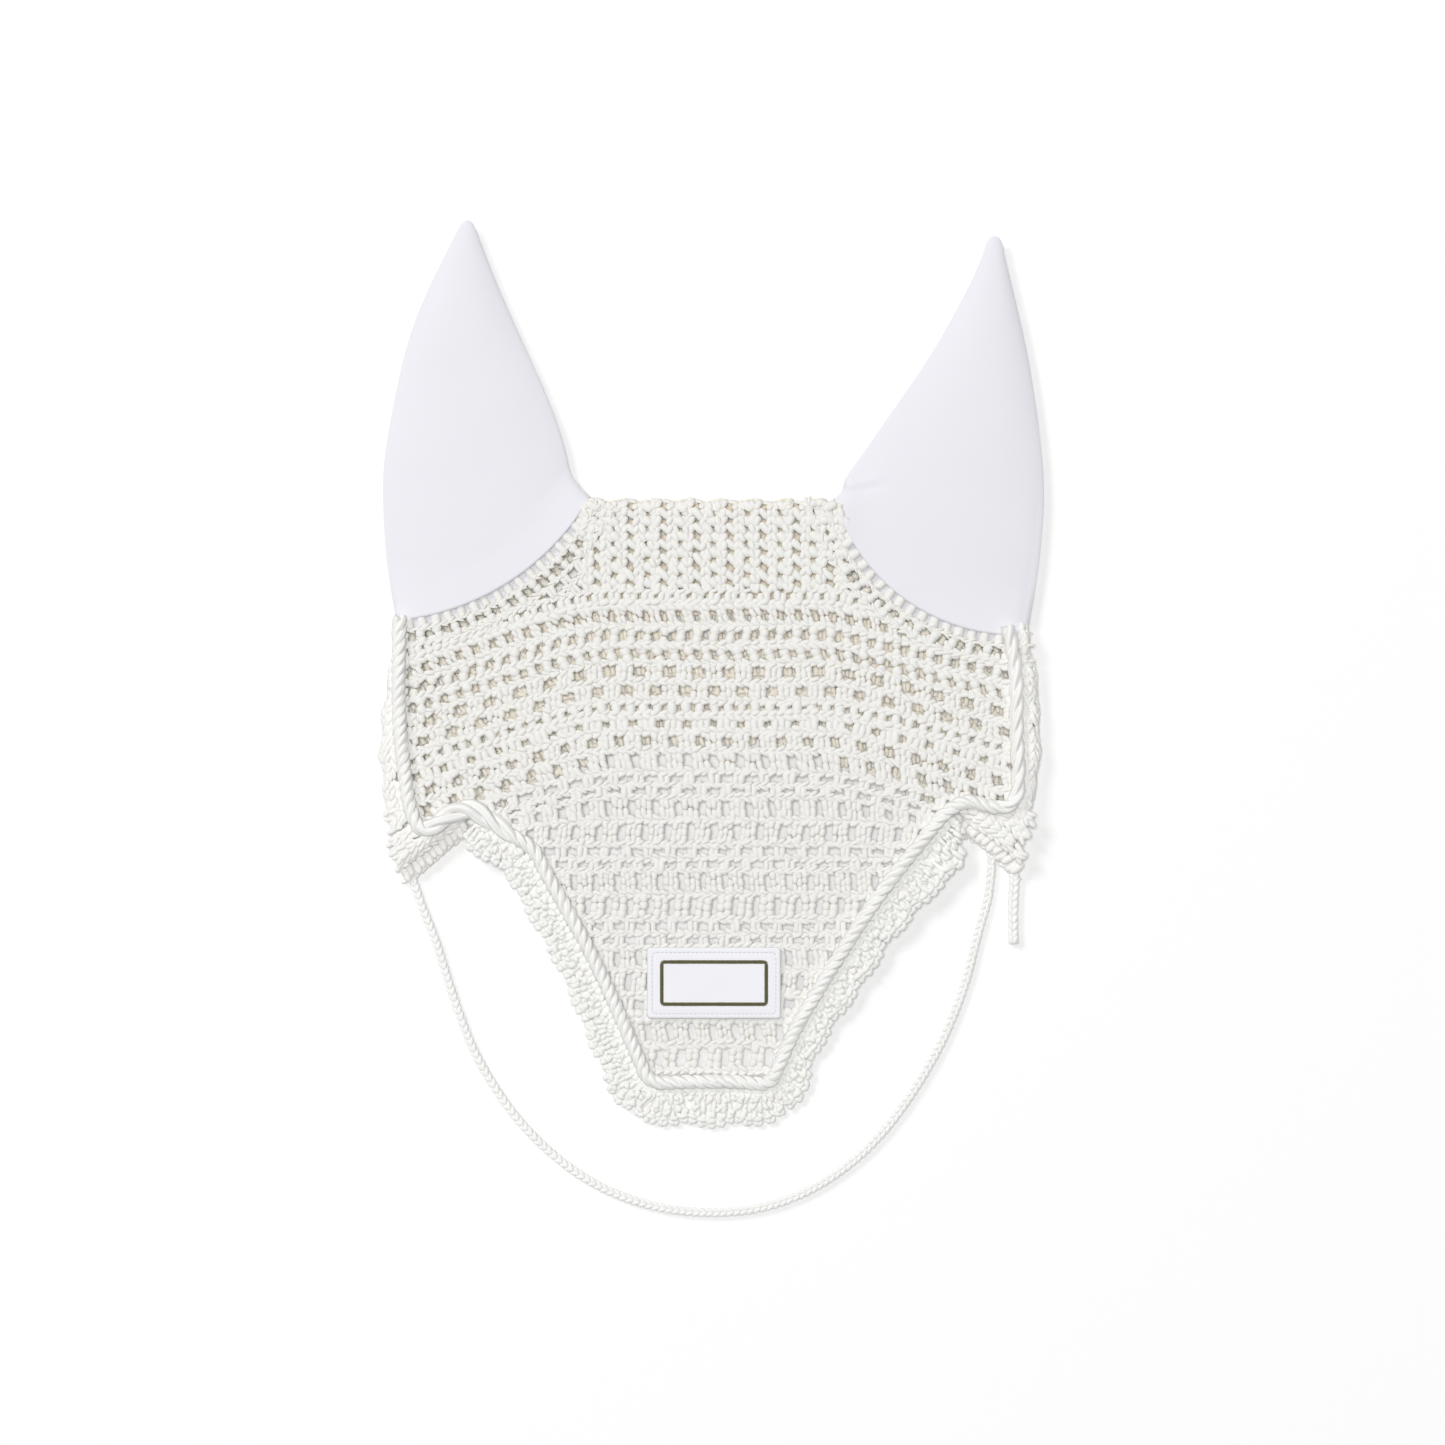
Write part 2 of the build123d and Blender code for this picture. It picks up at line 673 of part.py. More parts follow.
# Points of the loop from the left tab to the right: share of half the distance between the
# points of the tabs, and drop below them.
cord_points = [
    (-1.0, 0.4),
    (-0.978, 12.0),
    (-0.925, 32.0),
    (-0.865, 64.0),
    (-0.785, 98.0),
    (-0.620, 136.0),
    (-0.380, 166.0),
    (-0.080, 179.0),
    (0.240, 174.0),
    (0.520, 145.0),
    (0.720, 100.0),
    (0.830, 60.0),
    (0.880, 26.0),
    (0.917, 8.0),
    (0.921, -7.2),
]
cord_route = [(share * tab_x, tab_y - drop) for share, drop in cord_points]


with BuildPart() as throat_cord:
    with BuildLine(Plane.XY.offset(cord_z)) as throat_line:
        FilletPolyline(*cord_route, radius=route_radii(cord_route))
    with BuildSketch(throat_line.line ^ 0):
        Circle(cord_d / 2)
    sweep()
throat_cord.part.label = "throat_cord"
export_step(throat_cord.part, "parts/throat_cord.step")

tail_z = tail_d / 2 + seam_gap / 3
tail_points = [(0.4, 0.1), (1.8, 18.0), (1.0, 33.0)]  # in from the tab's point, and down
tail_route = [(tab_x - inward, tab_y - drop) for inward, drop in tail_points]
with BuildPart() as cord_tail:
    with BuildLine(Plane.XY.offset(tail_z)) as tail_line:
        FilletPolyline(*tail_route, radius=route_radii(tail_route))
    with BuildSketch(tail_line.line ^ 0):
        Circle(tail_d / 2)
    sweep()
cord_tail.part.label = "cord_tail"
export_step(cord_tail.part, "parts/cord_tail.step")

cord_length = sum(edge.length for edge in throat_line.edges())
tail_length = sum(edge.length for edge in tail_line.edges())
print("throat cord", round(cord_length, 1), "mm, its radii", route_radii(cord_route))
print("its volume", throat_cord.part.volume, "against", cord_length * pi * cord_d**2 / 4)
print("loose end", round(tail_length, 1), "mm, its radii", route_radii(tail_route))
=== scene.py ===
import json
import random
from math import atan2, ceil, cos, hypot, pi, sin, sqrt

import bmesh
import bpy
from mathutils import Matrix, Vector

# Crocheted ear bonnet for a horse, laid flat. Sizes are in millimetres and become metres where
# a mesh is made. "left" is the side of -X.
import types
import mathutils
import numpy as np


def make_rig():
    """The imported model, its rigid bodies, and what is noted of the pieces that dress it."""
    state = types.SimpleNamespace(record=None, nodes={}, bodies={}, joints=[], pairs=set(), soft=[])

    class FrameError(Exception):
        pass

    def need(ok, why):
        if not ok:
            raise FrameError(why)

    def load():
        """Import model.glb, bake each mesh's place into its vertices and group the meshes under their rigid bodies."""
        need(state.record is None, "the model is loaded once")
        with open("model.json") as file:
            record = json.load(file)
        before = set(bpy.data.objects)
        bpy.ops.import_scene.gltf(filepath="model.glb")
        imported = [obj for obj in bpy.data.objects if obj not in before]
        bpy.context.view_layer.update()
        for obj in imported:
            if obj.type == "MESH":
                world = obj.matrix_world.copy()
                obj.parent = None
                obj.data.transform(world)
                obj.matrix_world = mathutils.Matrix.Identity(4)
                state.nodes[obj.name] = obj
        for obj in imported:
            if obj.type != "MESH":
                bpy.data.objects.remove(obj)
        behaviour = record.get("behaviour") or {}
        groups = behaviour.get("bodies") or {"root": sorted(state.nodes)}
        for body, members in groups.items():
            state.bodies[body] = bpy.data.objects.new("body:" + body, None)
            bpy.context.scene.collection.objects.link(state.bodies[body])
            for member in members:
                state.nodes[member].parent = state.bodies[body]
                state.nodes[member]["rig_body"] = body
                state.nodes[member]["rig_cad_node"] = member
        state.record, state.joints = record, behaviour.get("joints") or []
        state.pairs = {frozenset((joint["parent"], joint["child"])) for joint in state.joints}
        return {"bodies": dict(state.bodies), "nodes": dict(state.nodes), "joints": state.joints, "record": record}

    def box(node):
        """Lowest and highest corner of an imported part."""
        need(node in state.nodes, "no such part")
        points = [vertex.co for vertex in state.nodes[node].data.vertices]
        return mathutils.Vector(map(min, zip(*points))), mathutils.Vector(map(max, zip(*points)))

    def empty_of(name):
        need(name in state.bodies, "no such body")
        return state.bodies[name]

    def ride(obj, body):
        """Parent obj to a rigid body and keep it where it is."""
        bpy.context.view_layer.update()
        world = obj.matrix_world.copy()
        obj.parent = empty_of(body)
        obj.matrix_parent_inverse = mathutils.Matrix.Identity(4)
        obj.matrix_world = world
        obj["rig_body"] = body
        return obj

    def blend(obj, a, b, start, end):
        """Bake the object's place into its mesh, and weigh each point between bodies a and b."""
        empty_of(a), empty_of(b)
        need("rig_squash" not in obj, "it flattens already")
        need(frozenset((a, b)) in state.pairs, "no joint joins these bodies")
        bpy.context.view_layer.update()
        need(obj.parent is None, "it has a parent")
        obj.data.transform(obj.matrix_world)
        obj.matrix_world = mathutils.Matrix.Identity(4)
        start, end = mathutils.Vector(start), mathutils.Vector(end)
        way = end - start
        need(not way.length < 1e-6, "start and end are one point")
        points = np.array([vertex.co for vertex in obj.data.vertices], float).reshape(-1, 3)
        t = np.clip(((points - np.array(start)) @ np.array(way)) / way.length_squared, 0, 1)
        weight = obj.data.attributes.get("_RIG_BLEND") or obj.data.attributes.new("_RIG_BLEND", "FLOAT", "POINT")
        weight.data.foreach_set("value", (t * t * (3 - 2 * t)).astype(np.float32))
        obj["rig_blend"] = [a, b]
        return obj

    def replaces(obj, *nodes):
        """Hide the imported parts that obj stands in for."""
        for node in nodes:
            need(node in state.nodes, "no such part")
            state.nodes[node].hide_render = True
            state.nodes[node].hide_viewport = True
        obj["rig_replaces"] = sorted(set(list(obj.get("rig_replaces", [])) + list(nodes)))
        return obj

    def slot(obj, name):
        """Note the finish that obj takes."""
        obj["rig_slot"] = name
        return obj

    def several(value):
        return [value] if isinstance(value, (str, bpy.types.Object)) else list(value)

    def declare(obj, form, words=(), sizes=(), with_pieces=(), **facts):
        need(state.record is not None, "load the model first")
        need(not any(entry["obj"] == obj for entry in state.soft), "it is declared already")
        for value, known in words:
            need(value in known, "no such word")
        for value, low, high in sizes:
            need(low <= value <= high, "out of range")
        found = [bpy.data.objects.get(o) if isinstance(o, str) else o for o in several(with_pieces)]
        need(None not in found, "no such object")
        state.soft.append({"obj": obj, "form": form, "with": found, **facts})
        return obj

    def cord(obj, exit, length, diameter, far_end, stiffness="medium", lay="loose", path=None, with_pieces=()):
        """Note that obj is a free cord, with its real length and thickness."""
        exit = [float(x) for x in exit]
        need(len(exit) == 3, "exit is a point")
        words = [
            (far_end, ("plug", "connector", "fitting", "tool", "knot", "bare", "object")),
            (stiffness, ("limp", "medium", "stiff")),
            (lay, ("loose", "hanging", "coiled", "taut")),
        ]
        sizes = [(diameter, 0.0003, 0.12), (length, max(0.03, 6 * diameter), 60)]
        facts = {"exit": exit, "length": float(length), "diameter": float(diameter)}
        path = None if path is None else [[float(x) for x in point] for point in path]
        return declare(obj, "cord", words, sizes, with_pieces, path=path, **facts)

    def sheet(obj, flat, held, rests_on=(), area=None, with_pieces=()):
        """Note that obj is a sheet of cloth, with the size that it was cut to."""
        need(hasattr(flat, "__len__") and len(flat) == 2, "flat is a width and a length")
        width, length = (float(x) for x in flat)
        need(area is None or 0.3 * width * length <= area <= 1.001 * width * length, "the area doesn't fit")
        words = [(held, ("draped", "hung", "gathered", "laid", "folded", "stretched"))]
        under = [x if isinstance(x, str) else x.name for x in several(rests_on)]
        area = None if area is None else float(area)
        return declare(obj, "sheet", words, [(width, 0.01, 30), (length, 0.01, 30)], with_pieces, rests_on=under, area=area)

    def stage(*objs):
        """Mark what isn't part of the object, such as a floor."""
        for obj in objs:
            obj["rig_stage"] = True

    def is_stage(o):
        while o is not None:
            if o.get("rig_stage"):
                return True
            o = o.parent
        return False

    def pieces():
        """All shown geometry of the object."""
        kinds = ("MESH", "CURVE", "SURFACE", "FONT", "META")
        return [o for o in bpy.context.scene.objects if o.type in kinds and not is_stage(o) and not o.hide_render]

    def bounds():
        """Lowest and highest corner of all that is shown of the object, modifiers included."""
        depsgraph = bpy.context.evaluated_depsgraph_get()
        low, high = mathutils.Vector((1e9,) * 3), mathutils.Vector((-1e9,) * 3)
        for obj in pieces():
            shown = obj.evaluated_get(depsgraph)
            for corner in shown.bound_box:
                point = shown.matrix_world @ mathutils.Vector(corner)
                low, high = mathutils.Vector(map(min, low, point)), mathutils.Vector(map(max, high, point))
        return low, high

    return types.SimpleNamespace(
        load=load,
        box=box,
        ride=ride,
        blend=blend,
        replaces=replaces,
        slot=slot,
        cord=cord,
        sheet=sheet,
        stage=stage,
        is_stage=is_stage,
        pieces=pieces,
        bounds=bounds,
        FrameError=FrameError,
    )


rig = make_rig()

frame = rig.load()
cad_box = [list(corner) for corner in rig.bounds()]
MM = 0.001
random.seed(11)

# ------------------------------------------------------------------ sizes
crochet = 3.0
front_z = 9.0  # underside of the face
top_z = 12.0
face_mid = front_z + crochet / 2
back_mid = crochet / 2
fold_y = -62.0  # the nose flap lifts along this line
nose_length = 177.0
crown_top = 94.0
crown_low = 45.0
rope_d = 8.0
cord_d = 4.2
tail_d = 5.2
ear_row_depth = 12.2  # how far the row along an ear's seam reaches below it

# seam of each ear: its ends and how far it bows below its chord
ear_seams = {
    "left": ((66.5, 95.0), (168.5, 30.0), 15.0),
    "right": ((64.5, 94.0), (166.0, 22.5), 22.0),
}
# the rope's line from the ear seam to the middle of the nose, for each side
rope_lines = {
    "left": [
        (166.5, 31.0), (167.2, 0.0), (166.6, -28.0), (163.8, -52.0), (161.5, -70.0),
        (155.0, -84.5), (141.0, -74.0), (130.5, -69.5), (119.0, -76.0), (108.0, -84.5),
        (95.5, -91.0), (88.5, -106.0), (78.5, -123.0), (67.5, -143.0), (58.5, -161.0),
        (49.0, -182.5), (40.5, -202.0), (34.5, -217.0), (16.0, -215.5), (0.0, -215.5),
    ],
    "right": [
        (155.5, 26.0), (158.0, 14.0), (160.5, -6.0), (160.0, -32.0), (161.5, -52.0),
        (160.0, -69.0), (146.5, -70.5), (135.0, -65.5), (123.0, -71.5), (111.5, -86.0),
        (97.0, -103.5), (83.5, -122.0), (69.5, -143.5), (55.0, -167.0), (42.5, -188.0),
        (34.0, -208.0), (29.5, -217.5), (14.0, -215.5), (0.0, -215.5),
    ],
}
# outer and inner edge of each ear, from its base to its tip
ear_edges = {
    "left": (
        [(168.5, 30.0), (173.0, 52.5), (175.3, 80.0), (176.0, 103.0), (174.4, 121.0),
         (169.4, 148.0), (163.4, 175.0), (154.6, 199.0), (143.2, 222.0), (136.4, 235.4),
         (133.6, 240.8)],
        [(66.5, 95.0), (74.2, 102.5), (77.8, 109.0), (79.2, 118.0), (83.8, 134.0),
         (92.3, 155.5), (104.4, 182.0), (116.2, 209.0), (124.6, 231.0), (127.2, 238.6),
         (128.8, 241.2)],
    ),
    "right": (
        [(166.0, 22.5), (171.0, 51.0), (173.8, 77.0), (174.9, 96.0), (173.8, 118.0),
         (170.1, 147.0), (165.2, 176.0), (158.4, 204.5), (154.2, 222.0), (152.9, 230.0),
         (150.8, 232.8)],
        [(64.5, 94.0), (70.0, 97.5), (70.8, 106.0), (76.0, 112.5), (95.4, 141.0),
         (114.5, 168.5), (132.2, 200.0), (141.8, 220.5), (144.2, 228.8), (146.4, 232.8)],
    ),
}
ear_tips = {"left": (131.2, 241.5), "right": (148.6, 233.0)}

# ------------------------------------------------------------------ camera, light and floor
# This part is in metres.
camera_height = 3.2
seen_height, seen_width = 0.008, 0.766  # the level of the face and how much of it is seen
sensor = 36.0

camera = bpy.data.objects.new("camera", bpy.data.cameras.new("camera"))
bpy.context.scene.collection.objects.link(camera)
bpy.context.scene.camera = camera
camera.location = (0.0045, -0.0250, camera_height)
camera.data.sensor_width = sensor
camera.data.lens = sensor * (camera_height - seen_height) / seen_width
bpy.context.scene.view_settings.view_transform = "Standard"
bpy.context.scene.view_settings.look = "None"


def soft_light(name, place, size, power):
    """A round lamp that faces the middle of the floor."""
    lamp = bpy.data.lights.new(name, "AREA")
    lamp.shape = "DISK"
    lamp.size = size
    lamp.energy = power
    holder = bpy.data.objects.new(name, lamp)
    bpy.context.scene.collection.objects.link(holder)
    holder.location = place
    holder.rotation_euler = (-Vector(place)).to_track_quat("-Z", "Y").to_euler()


# each with its place, its diameter and its power
soft_light("top_light", (-0.30, 0.36, 8.0), 2.0, 400)
soft_light("key_light", (-5.1, 4.5, 5.7), 3.2, 250)

world = bpy.data.worlds.new("studio")
bpy.context.scene.world = world
world.use_nodes = True
background = world.node_tree.nodes["Background"]
background.inputs["Color"].default_value = (1, 1, 1, 1)
background.inputs["Strength"].default_value = 0.24

bpy.ops.object.select_all(action="DESELECT")
bpy.ops.mesh.primitive_plane_add(size=8)
floor = bpy.context.object
floor.name = "floor"
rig.stage(floor)


# ------------------------------------------------------------------ finishes
def effect_group(name, **inputs):
    """An empty node group with these sockets, which puts out a colour and a height, and its
    two ends."""
    group = bpy.data.node_groups.new(name, "ShaderNodeTree")
    for label, value in inputs.items():
        kind = "NodeSocketColor" if isinstance(value, tuple) else "NodeSocketFloat"
        socket = group.interface.new_socket(label, in_out="INPUT", socket_type=kind)
        socket.default_value = value
    for label, kind in (("Colour", "NodeSocketColor"), ("Height", "NodeSocketFloat")):
        group.interface.new_socket(label, in_out="OUTPUT", socket_type=kind)
    return group, group.nodes.new("NodeGroupInput"), group.nodes.new("NodeGroupOutput")


def texture(group, kind, place, **sockets):
    """A texture that lies on these coordinates."""
    node = group.nodes.new(kind)
    for name, value in sockets.items():
        node.inputs[name].default_value = value
    group.links.new(place, node.inputs["Vector"])
    return node


def ranged(group, source, *limits):
    """A value moved from one range to another, given as low, high, low and high."""
    node = group.nodes.new("ShaderNodeMapRange")
    for label, limit in zip(("From Min", "From Max", "To Min", "To Max"), limits):
        node.inputs[label].default_value = limit
    group.links.new(source, node.inputs["Value"])
    return node.outputs["Result"]


def combined(group, operation, first, second):
    """Two values made one."""
    node = group.nodes.new("ShaderNodeMath")
    node.operation = operation
    group.links.new(first, node.inputs[0])
    group.links.new(second, node.inputs[1])
    return node.outputs[0]


def colour_mix(tree, blend="MIX"):
    mix = tree.nodes.new("ShaderNodeMix")
    mix.data_type = "RGBA"
    mix.blend_type = blend
    return mix


def cotton_effect():
    """Plies along the yarn, loose fibres over it, uneven whiteness, and painted shade between the plies."""
    group, start, end = effect_group(
        "cotton_yarn", Colour=(0.9, 0.9, 0.88, 1), Shade=(0.8, 0.78, 0.72, 1), Plies=7.0,
        Fibres=1500.0,
    )
    link = group.links.new
    place = group.nodes.new("ShaderNodeTexCoord")
    plies = texture(group, "ShaderNodeTexWave", place.outputs["UV"], Distortion=1.5)
    plies.bands_direction = "DIAGONAL"
    link(start.outputs["Plies"], plies.inputs["Scale"])
    on_yarn = place.outputs["Object"]
    fibres = texture(group, "ShaderNodeTexNoise", on_yarn, Detail=3.0, Roughness=0.7)
    link(start.outputs["Fibres"], fibres.inputs["Scale"])
    blotches = texture(group, "ShaderNodeTexNoise", on_yarn, Scale=60.0, Detail=2.0)
    height = combined(group, "ADD", plies.outputs["Fac"], fibres.outputs["Fac"])
    link(height, end.inputs["Height"])
    tone = ranged(group, blotches.outputs["Fac"], 0.35, 0.75, 0.0, 0.35)
    # painted shade: the valleys between the plies take the Shade colour
    valleys = ranged(group, plies.outputs["Fac"], 0.0, 0.45, 0.5, 0.0)
    mix = colour_mix(group)
    link(combined(group, "ADD", tone, valleys), mix.inputs["Factor"])
    link(start.outputs["Colour"], mix.inputs["A"])
    link(start.outputs["Shade"], mix.inputs["B"])
    link(mix.outputs["Result"], end.inputs["Colour"])
    return group


def weave_effect():
    """A fine plain weave with slight unevenness."""
    group, start, end = effect_group("fine_weave", Colour=(0.87, 0.87, 0.92, 1), Threads=900.0)
    link = group.links.new
    place = group.nodes.new("ShaderNodeTexCoord").outputs["Object"]
    waves = []
    for direction in ("X", "Y"):
        wave = texture(group, "ShaderNodeTexWave", place, Distortion=0.4)
        wave.bands_direction = direction
        link(start.outputs["Threads"], wave.inputs["Scale"])
        waves.append(wave.outputs["Fac"])
    link(combined(group, "MAXIMUM", *waves), end.inputs["Height"])
    cloud = texture(group, "ShaderNodeTexNoise", place, Scale=25.0, Detail=2.0)
    mix = colour_mix(group, "MULTIPLY")
    mix.inputs["Factor"].default_value = 1.0
    link(start.outputs["Colour"], mix.inputs["A"])
    link(ranged(group, cloud.outputs["Fac"], 0.0, 1.0, 0.97, 1.0), mix.inputs["B"])
    link(mix.outputs["Result"], end.inputs["Colour"])
    return group


COTTON = cotton_effect()
WEAVE = weave_effect()


def cloth_finish(name, effect, values, roughness, bump, depth, sheen=0.0, inner=None):
    """A finish whose colour and bump come from an effect group. inner is painted shade: a warm tan,
    lighter than the cotton, mixed in on the undersides of loops and the walls of holes, standing
    in for the warm shade and bounced light between the layers, which shows through the holes."""
    material = bpy.data.materials.new(name)
    material.use_nodes = True
    tree = material.node_tree
    shader = tree.nodes["Principled BSDF"]
    shader.inputs["Roughness"].default_value = roughness
    shader.inputs["Sheen Weight"].default_value = sheen
    shader.inputs["Sheen Roughness"].default_value = 0.5
    shader.inputs["Specular IOR Level"].default_value = 0.25
    group = tree.nodes.new("ShaderNodeGroup")
    group.node_tree = effect
    for label, value in values.items():
        group.inputs[label].default_value = value
    raised = tree.nodes.new("ShaderNodeBump")
    raised.inputs["Strength"].default_value = bump
    raised.inputs["Distance"].default_value = depth
    colour = group.outputs["Colour"]
    # painted shade: the inner colour goes where the attribute named inner marks undersides and hole walls
    if inner:
        painted_shade_mask = tree.nodes.new("ShaderNodeAttribute")
        painted_shade_mask.attribute_name = "inner"
        mix = colour_mix(tree)
        mix.inputs["B"].default_value = (*inner, 1)
        tree.links.new(painted_shade_mask.outputs["Fac"], mix.inputs["Factor"])
        tree.links.new(colour, mix.inputs["A"])
        colour = mix.outputs["Result"]
    tree.links.new(colour, shader.inputs["Base Color"])
    tree.links.new(group.outputs["Height"], raised.inputs["Height"])
    tree.links.new(raised.outputs["Normal"], shader.inputs["Normal"])
    return material


def cotton(name, colour, shade, roughness=0.75, bump=0.25, depth=0.0004, sheen=0.15,
           inner=None, **yarn):
    """A finish of cotton yarn. shade is its uneven whiteness and the painted shade between its plies."""
    values = {"Colour": (*colour, 1), "Shade": (*shade, 1), **yarn}
    return cloth_finish(name, COTTON, values, roughness, bump, depth, sheen, inner)


def woven(name, colour, threads, roughness, bump, sheen=0.0):
    """A finish of fine woven cloth."""
    values = {"Colour": (*colour, 1), "Threads": threads}
    return cloth_finish(name, WEAVE, values, roughness, bump, 0.0002, sheen)


# Each inner colour is painted shade: a warm tan, lighter than the cotton, on loop undersides and in holes.
natural = (0.845, 0.84, 0.815), (0.83, 0.82, 0.785)
crochet_finish = cotton("crochet_cotton", *natural, inner=(0.98, 0.90, 0.75))
# Painted light: the edging's cotton is made lighter than the face's, to lift its loops, which shade darker.
edge_finish = cotton(
    "edging_cotton", (0.89, 0.885, 0.862), (0.875, 0.865, 0.835), inner=(0.97, 0.95, 0.90),
)
back_finish = cotton("back_cotton", *natural, inner=(0.97, 0.93, 0.84))
nose_finish = cotton("nose_cotton", *natural, inner=(0.98, 0.91, 0.84))
# Painted light: the lace's cotton is made lighter than the face's, to lift its loops, which shade darker.
lace_finish = cotton(
    "lace_cotton", (0.885, 0.883, 0.86), (0.865, 0.86, 0.83), 0.7, inner=(0.97, 0.95, 0.90),
)
# The rope's dark shade is painted shade in the creases between its plies.
rope_finish = cotton(
    "satin_rope", (0.905, 0.902, 0.885), (0.77, 0.76, 0.73), 0.48, 0.55, sheen=0.1,
    Plies=2.4, Fibres=900.0,
)
cord_finish = cotton("cord_cotton", (0.93, 0.93, 0.915), (0.88, 0.875, 0.85), 0.7, 0.3, 0.0003)
ear_finish = woven("ear_cloth", (0.79, 0.79, 0.835), 900.0, 0.7, 0.1, 0.1)
patch_finish = woven("patch_cloth", (0.865, 0.865, 0.90), 1100.0, 0.6, 0.2)
thread_finish = cotton(
    "olive_thread", (0.135, 0.125, 0.055), (0.07, 0.065, 0.03), 0.5, 0.3, 0.0002, 0.1,
)
white_thread = cotton(
    "white_thread", (0.70, 0.69, 0.75), (0.62, 0.61, 0.68), 0.45, 0.3, 0.0002, 0.0,
)

floor_finish = bpy.data.materials.new("paper_floor")
floor_finish.use_nodes = True
floor_shader = floor_finish.node_tree.nodes["Principled BSDF"]
floor_shader.inputs["Base Color"].default_value = (0.955, 0.955, 0.955, 1)
floor_shader.inputs["Roughness"].default_value = 0.9
floor.data.materials.append(floor_finish)


# ------------------------------------------------------------------ making and laying stitches
def in_order(mesh):
    """The same mesh with its faces and their corners in a set order. Those of a new sphere
    differ from run to run."""
    uvs = mesh.uv_layers.active.data
    faces = []
    for face in mesh.polygons:
        corners = [(i, tuple(uvs[k].uv)) for i, k in zip(face.vertices, face.loop_indices)]
        first = corners.index(min(corners))
        faces.append(corners[first:] + corners[:first])
    faces.sort()
    ordered = bpy.data.meshes.new(mesh.name)
    ordered.from_pydata([v.co for v in mesh.vertices], [], [[i for i, _ in f] for f in faces])
    layer = ordered.uv_layers.new(name="UVMap")
    for corner, (_, uv) in zip(layer.data, sum(faces, [])):
        corner.uv = uv
    ordered.shade_smooth()
    return ordered


loop_arch = 0.16  # how far a loop's ends are tucked in, as a share of its depth
loop_fullness = 3.4  # an even oval has 2


def yarn_loop(name, segments, rings):
    """One loop of yarn along Y, 1 long, wide and deep, thick in the middle, its ends tucked in."""
    bpy.ops.object.select_all(action="DESELECT")
    bpy.ops.mesh.primitive_uv_sphere_add(segments=segments, ring_count=rings, radius=0.5)
    loop = bpy.context.object
    loop.name = name
    bpy.ops.object.mode_set(mode="EDIT")
    bpy.ops.mesh.select_all(action="SELECT")
    bpy.ops.transform.rotate(value=pi / 2, orient_axis="X", center_override=(0, 0, 0))
    bpy.ops.object.mode_set(mode="OBJECT")
    for vertex in loop.data.vertices:
        share = min(1.0, abs(2 * vertex.co.y))
        round_r = sqrt(max(0.0, 1 - share**2))
        full_r = (1 - share**loop_fullness) ** 0.5 if share < 1 else 0.0
        fuller = full_r / round_r if round_r > 0.01 else 1.0
        vertex.co.x *= fuller
        vertex.co.z = vertex.co.z * fuller - loop_arch * share * share
    mesh = in_order(loop.data)
    bpy.data.objects.remove(loop)
    return mesh


LOOP = yarn_loop("yarn_loop", 6, 6)
BACK_LOOP = yarn_loop("back_loop", 5, 4)


def placed(point, along, out, length, width, depth):
    """The place of a loop: its middle, the way it runs, the way it faces, and its size."""
    y = along.normalized()
    x = y.cross(out).normalized()
    z = x.cross(y)
    rows = [
        [x[i] * width * MM, y[i] * length * MM, z[i] * depth * MM, point[i] * MM]
        for i in range(3)
    ]
    return Matrix([*rows, [0, 0, 0, 1]])


def made(name, work, finish):
    """A piece in the scene from a finished bmesh."""
    mesh = bpy.data.meshes.new(name)
    work.to_mesh(mesh)
    work.free()
    piece = bpy.data.objects.new(name, mesh)
    bpy.context.scene.collection.objects.link(piece)
    mesh.materials.append(finish)
    return piece


def add_wall(piece, thick):
    """The cloth's thickness, grown inwards."""
    wall = piece.modifiers.new("wall", "SOLIDIFY")
    wall.thickness = thick * MM
    wall.offset = -1


def backing(name, grid, thick, finish):
    """A thin closed plate that stitches lie on, from rows of places on its upper side."""
    work = bmesh.new()
    for drop in (0, thick):
        for row in grid:
            for place in row:
                work.verts.new((place - Vector((0, 0, drop))) * MM)
    work.verts.ensure_lookup_table()
    long, wide = len(grid), len(grid[0])
    under = long * wide

    def face(*corners):
        work.faces.new([work.verts[i] for i in corners])

    for i in range(long - 1):
        for j in range(wide - 1):
            a = i * wide + j
            face(a, a + 1, a + wide + 1, a + wide)
            face(*(under + k for k in (a + wide, a + wide + 1, a + 1, a)))
    rim = [*range(wide), *(i * wide + wide - 1 for i in range(1, long))]
    rim += [(long - 1) * wide + j for j in range(wide - 2, -1, -1)]
    rim += [i * wide for i in range(long - 2, 0, -1)]
    for a, b in zip(rim, rim[1:] + rim[:1]):
        face(b, a, under + a, under + b)
    bmesh.ops.recalc_face_normals(work, faces=work.faces)
    return made(name, work, finish)


def laid(name, places, finish, pattern=LOOP, under=1.0):
    """One piece of many loops, each a copy of the pattern with a mesh of its own. under is how
    much of the finish's inner colour, a painted shade, shows on their undersides."""
    work = bmesh.new()
    for place in places:
        copy = pattern.copy()
        copy.transform(place)
        work.from_mesh(copy)
        bpy.data.meshes.remove(copy)
    piece = made(name, work, finish)
    # painted shade: each loop's underside is marked by under, and its sides fade from full to none as they rise
    inner = [
        under if vertex.co.z < -0.2 else max(0.0, min(1.0, 0.6 - 2.6 * vertex.co.z))
        for vertex in pattern.vertices
    ]
    painted_shade_marks = piece.data.attributes.new("inner", "FLOAT", "POINT").data
    painted_shade_marks.foreach_set("value", inner * len(places))
    return piece


def wobble(amount):
    return random.uniform(-amount, amount)


# how the loops of a stitch lie, as shares of the stitch's sizes, and how deep they are
arm_apart, arm_lean, arm_length, arm_width, arm_depth = 0.22, 0.42, 1.36, 0.64, 1.6
core_length, core_width, core_depth, core_sink = 1.6, 0.74, 1.7, 0.35
post_length, post_width, post_depth, post_lean = 1.2, 1.38, 1.45, 1.6
post_pitch, post_reach = 3.0, 3.6  # a post is about this wide, and a loop of it about this long
post_apart, post_overlap, post_stagger = 1.6, 2.6, 0.45
ridge_least, ridge_cover = 2.4, 1.3  # the thinnest ridge, and how far it covers its posts


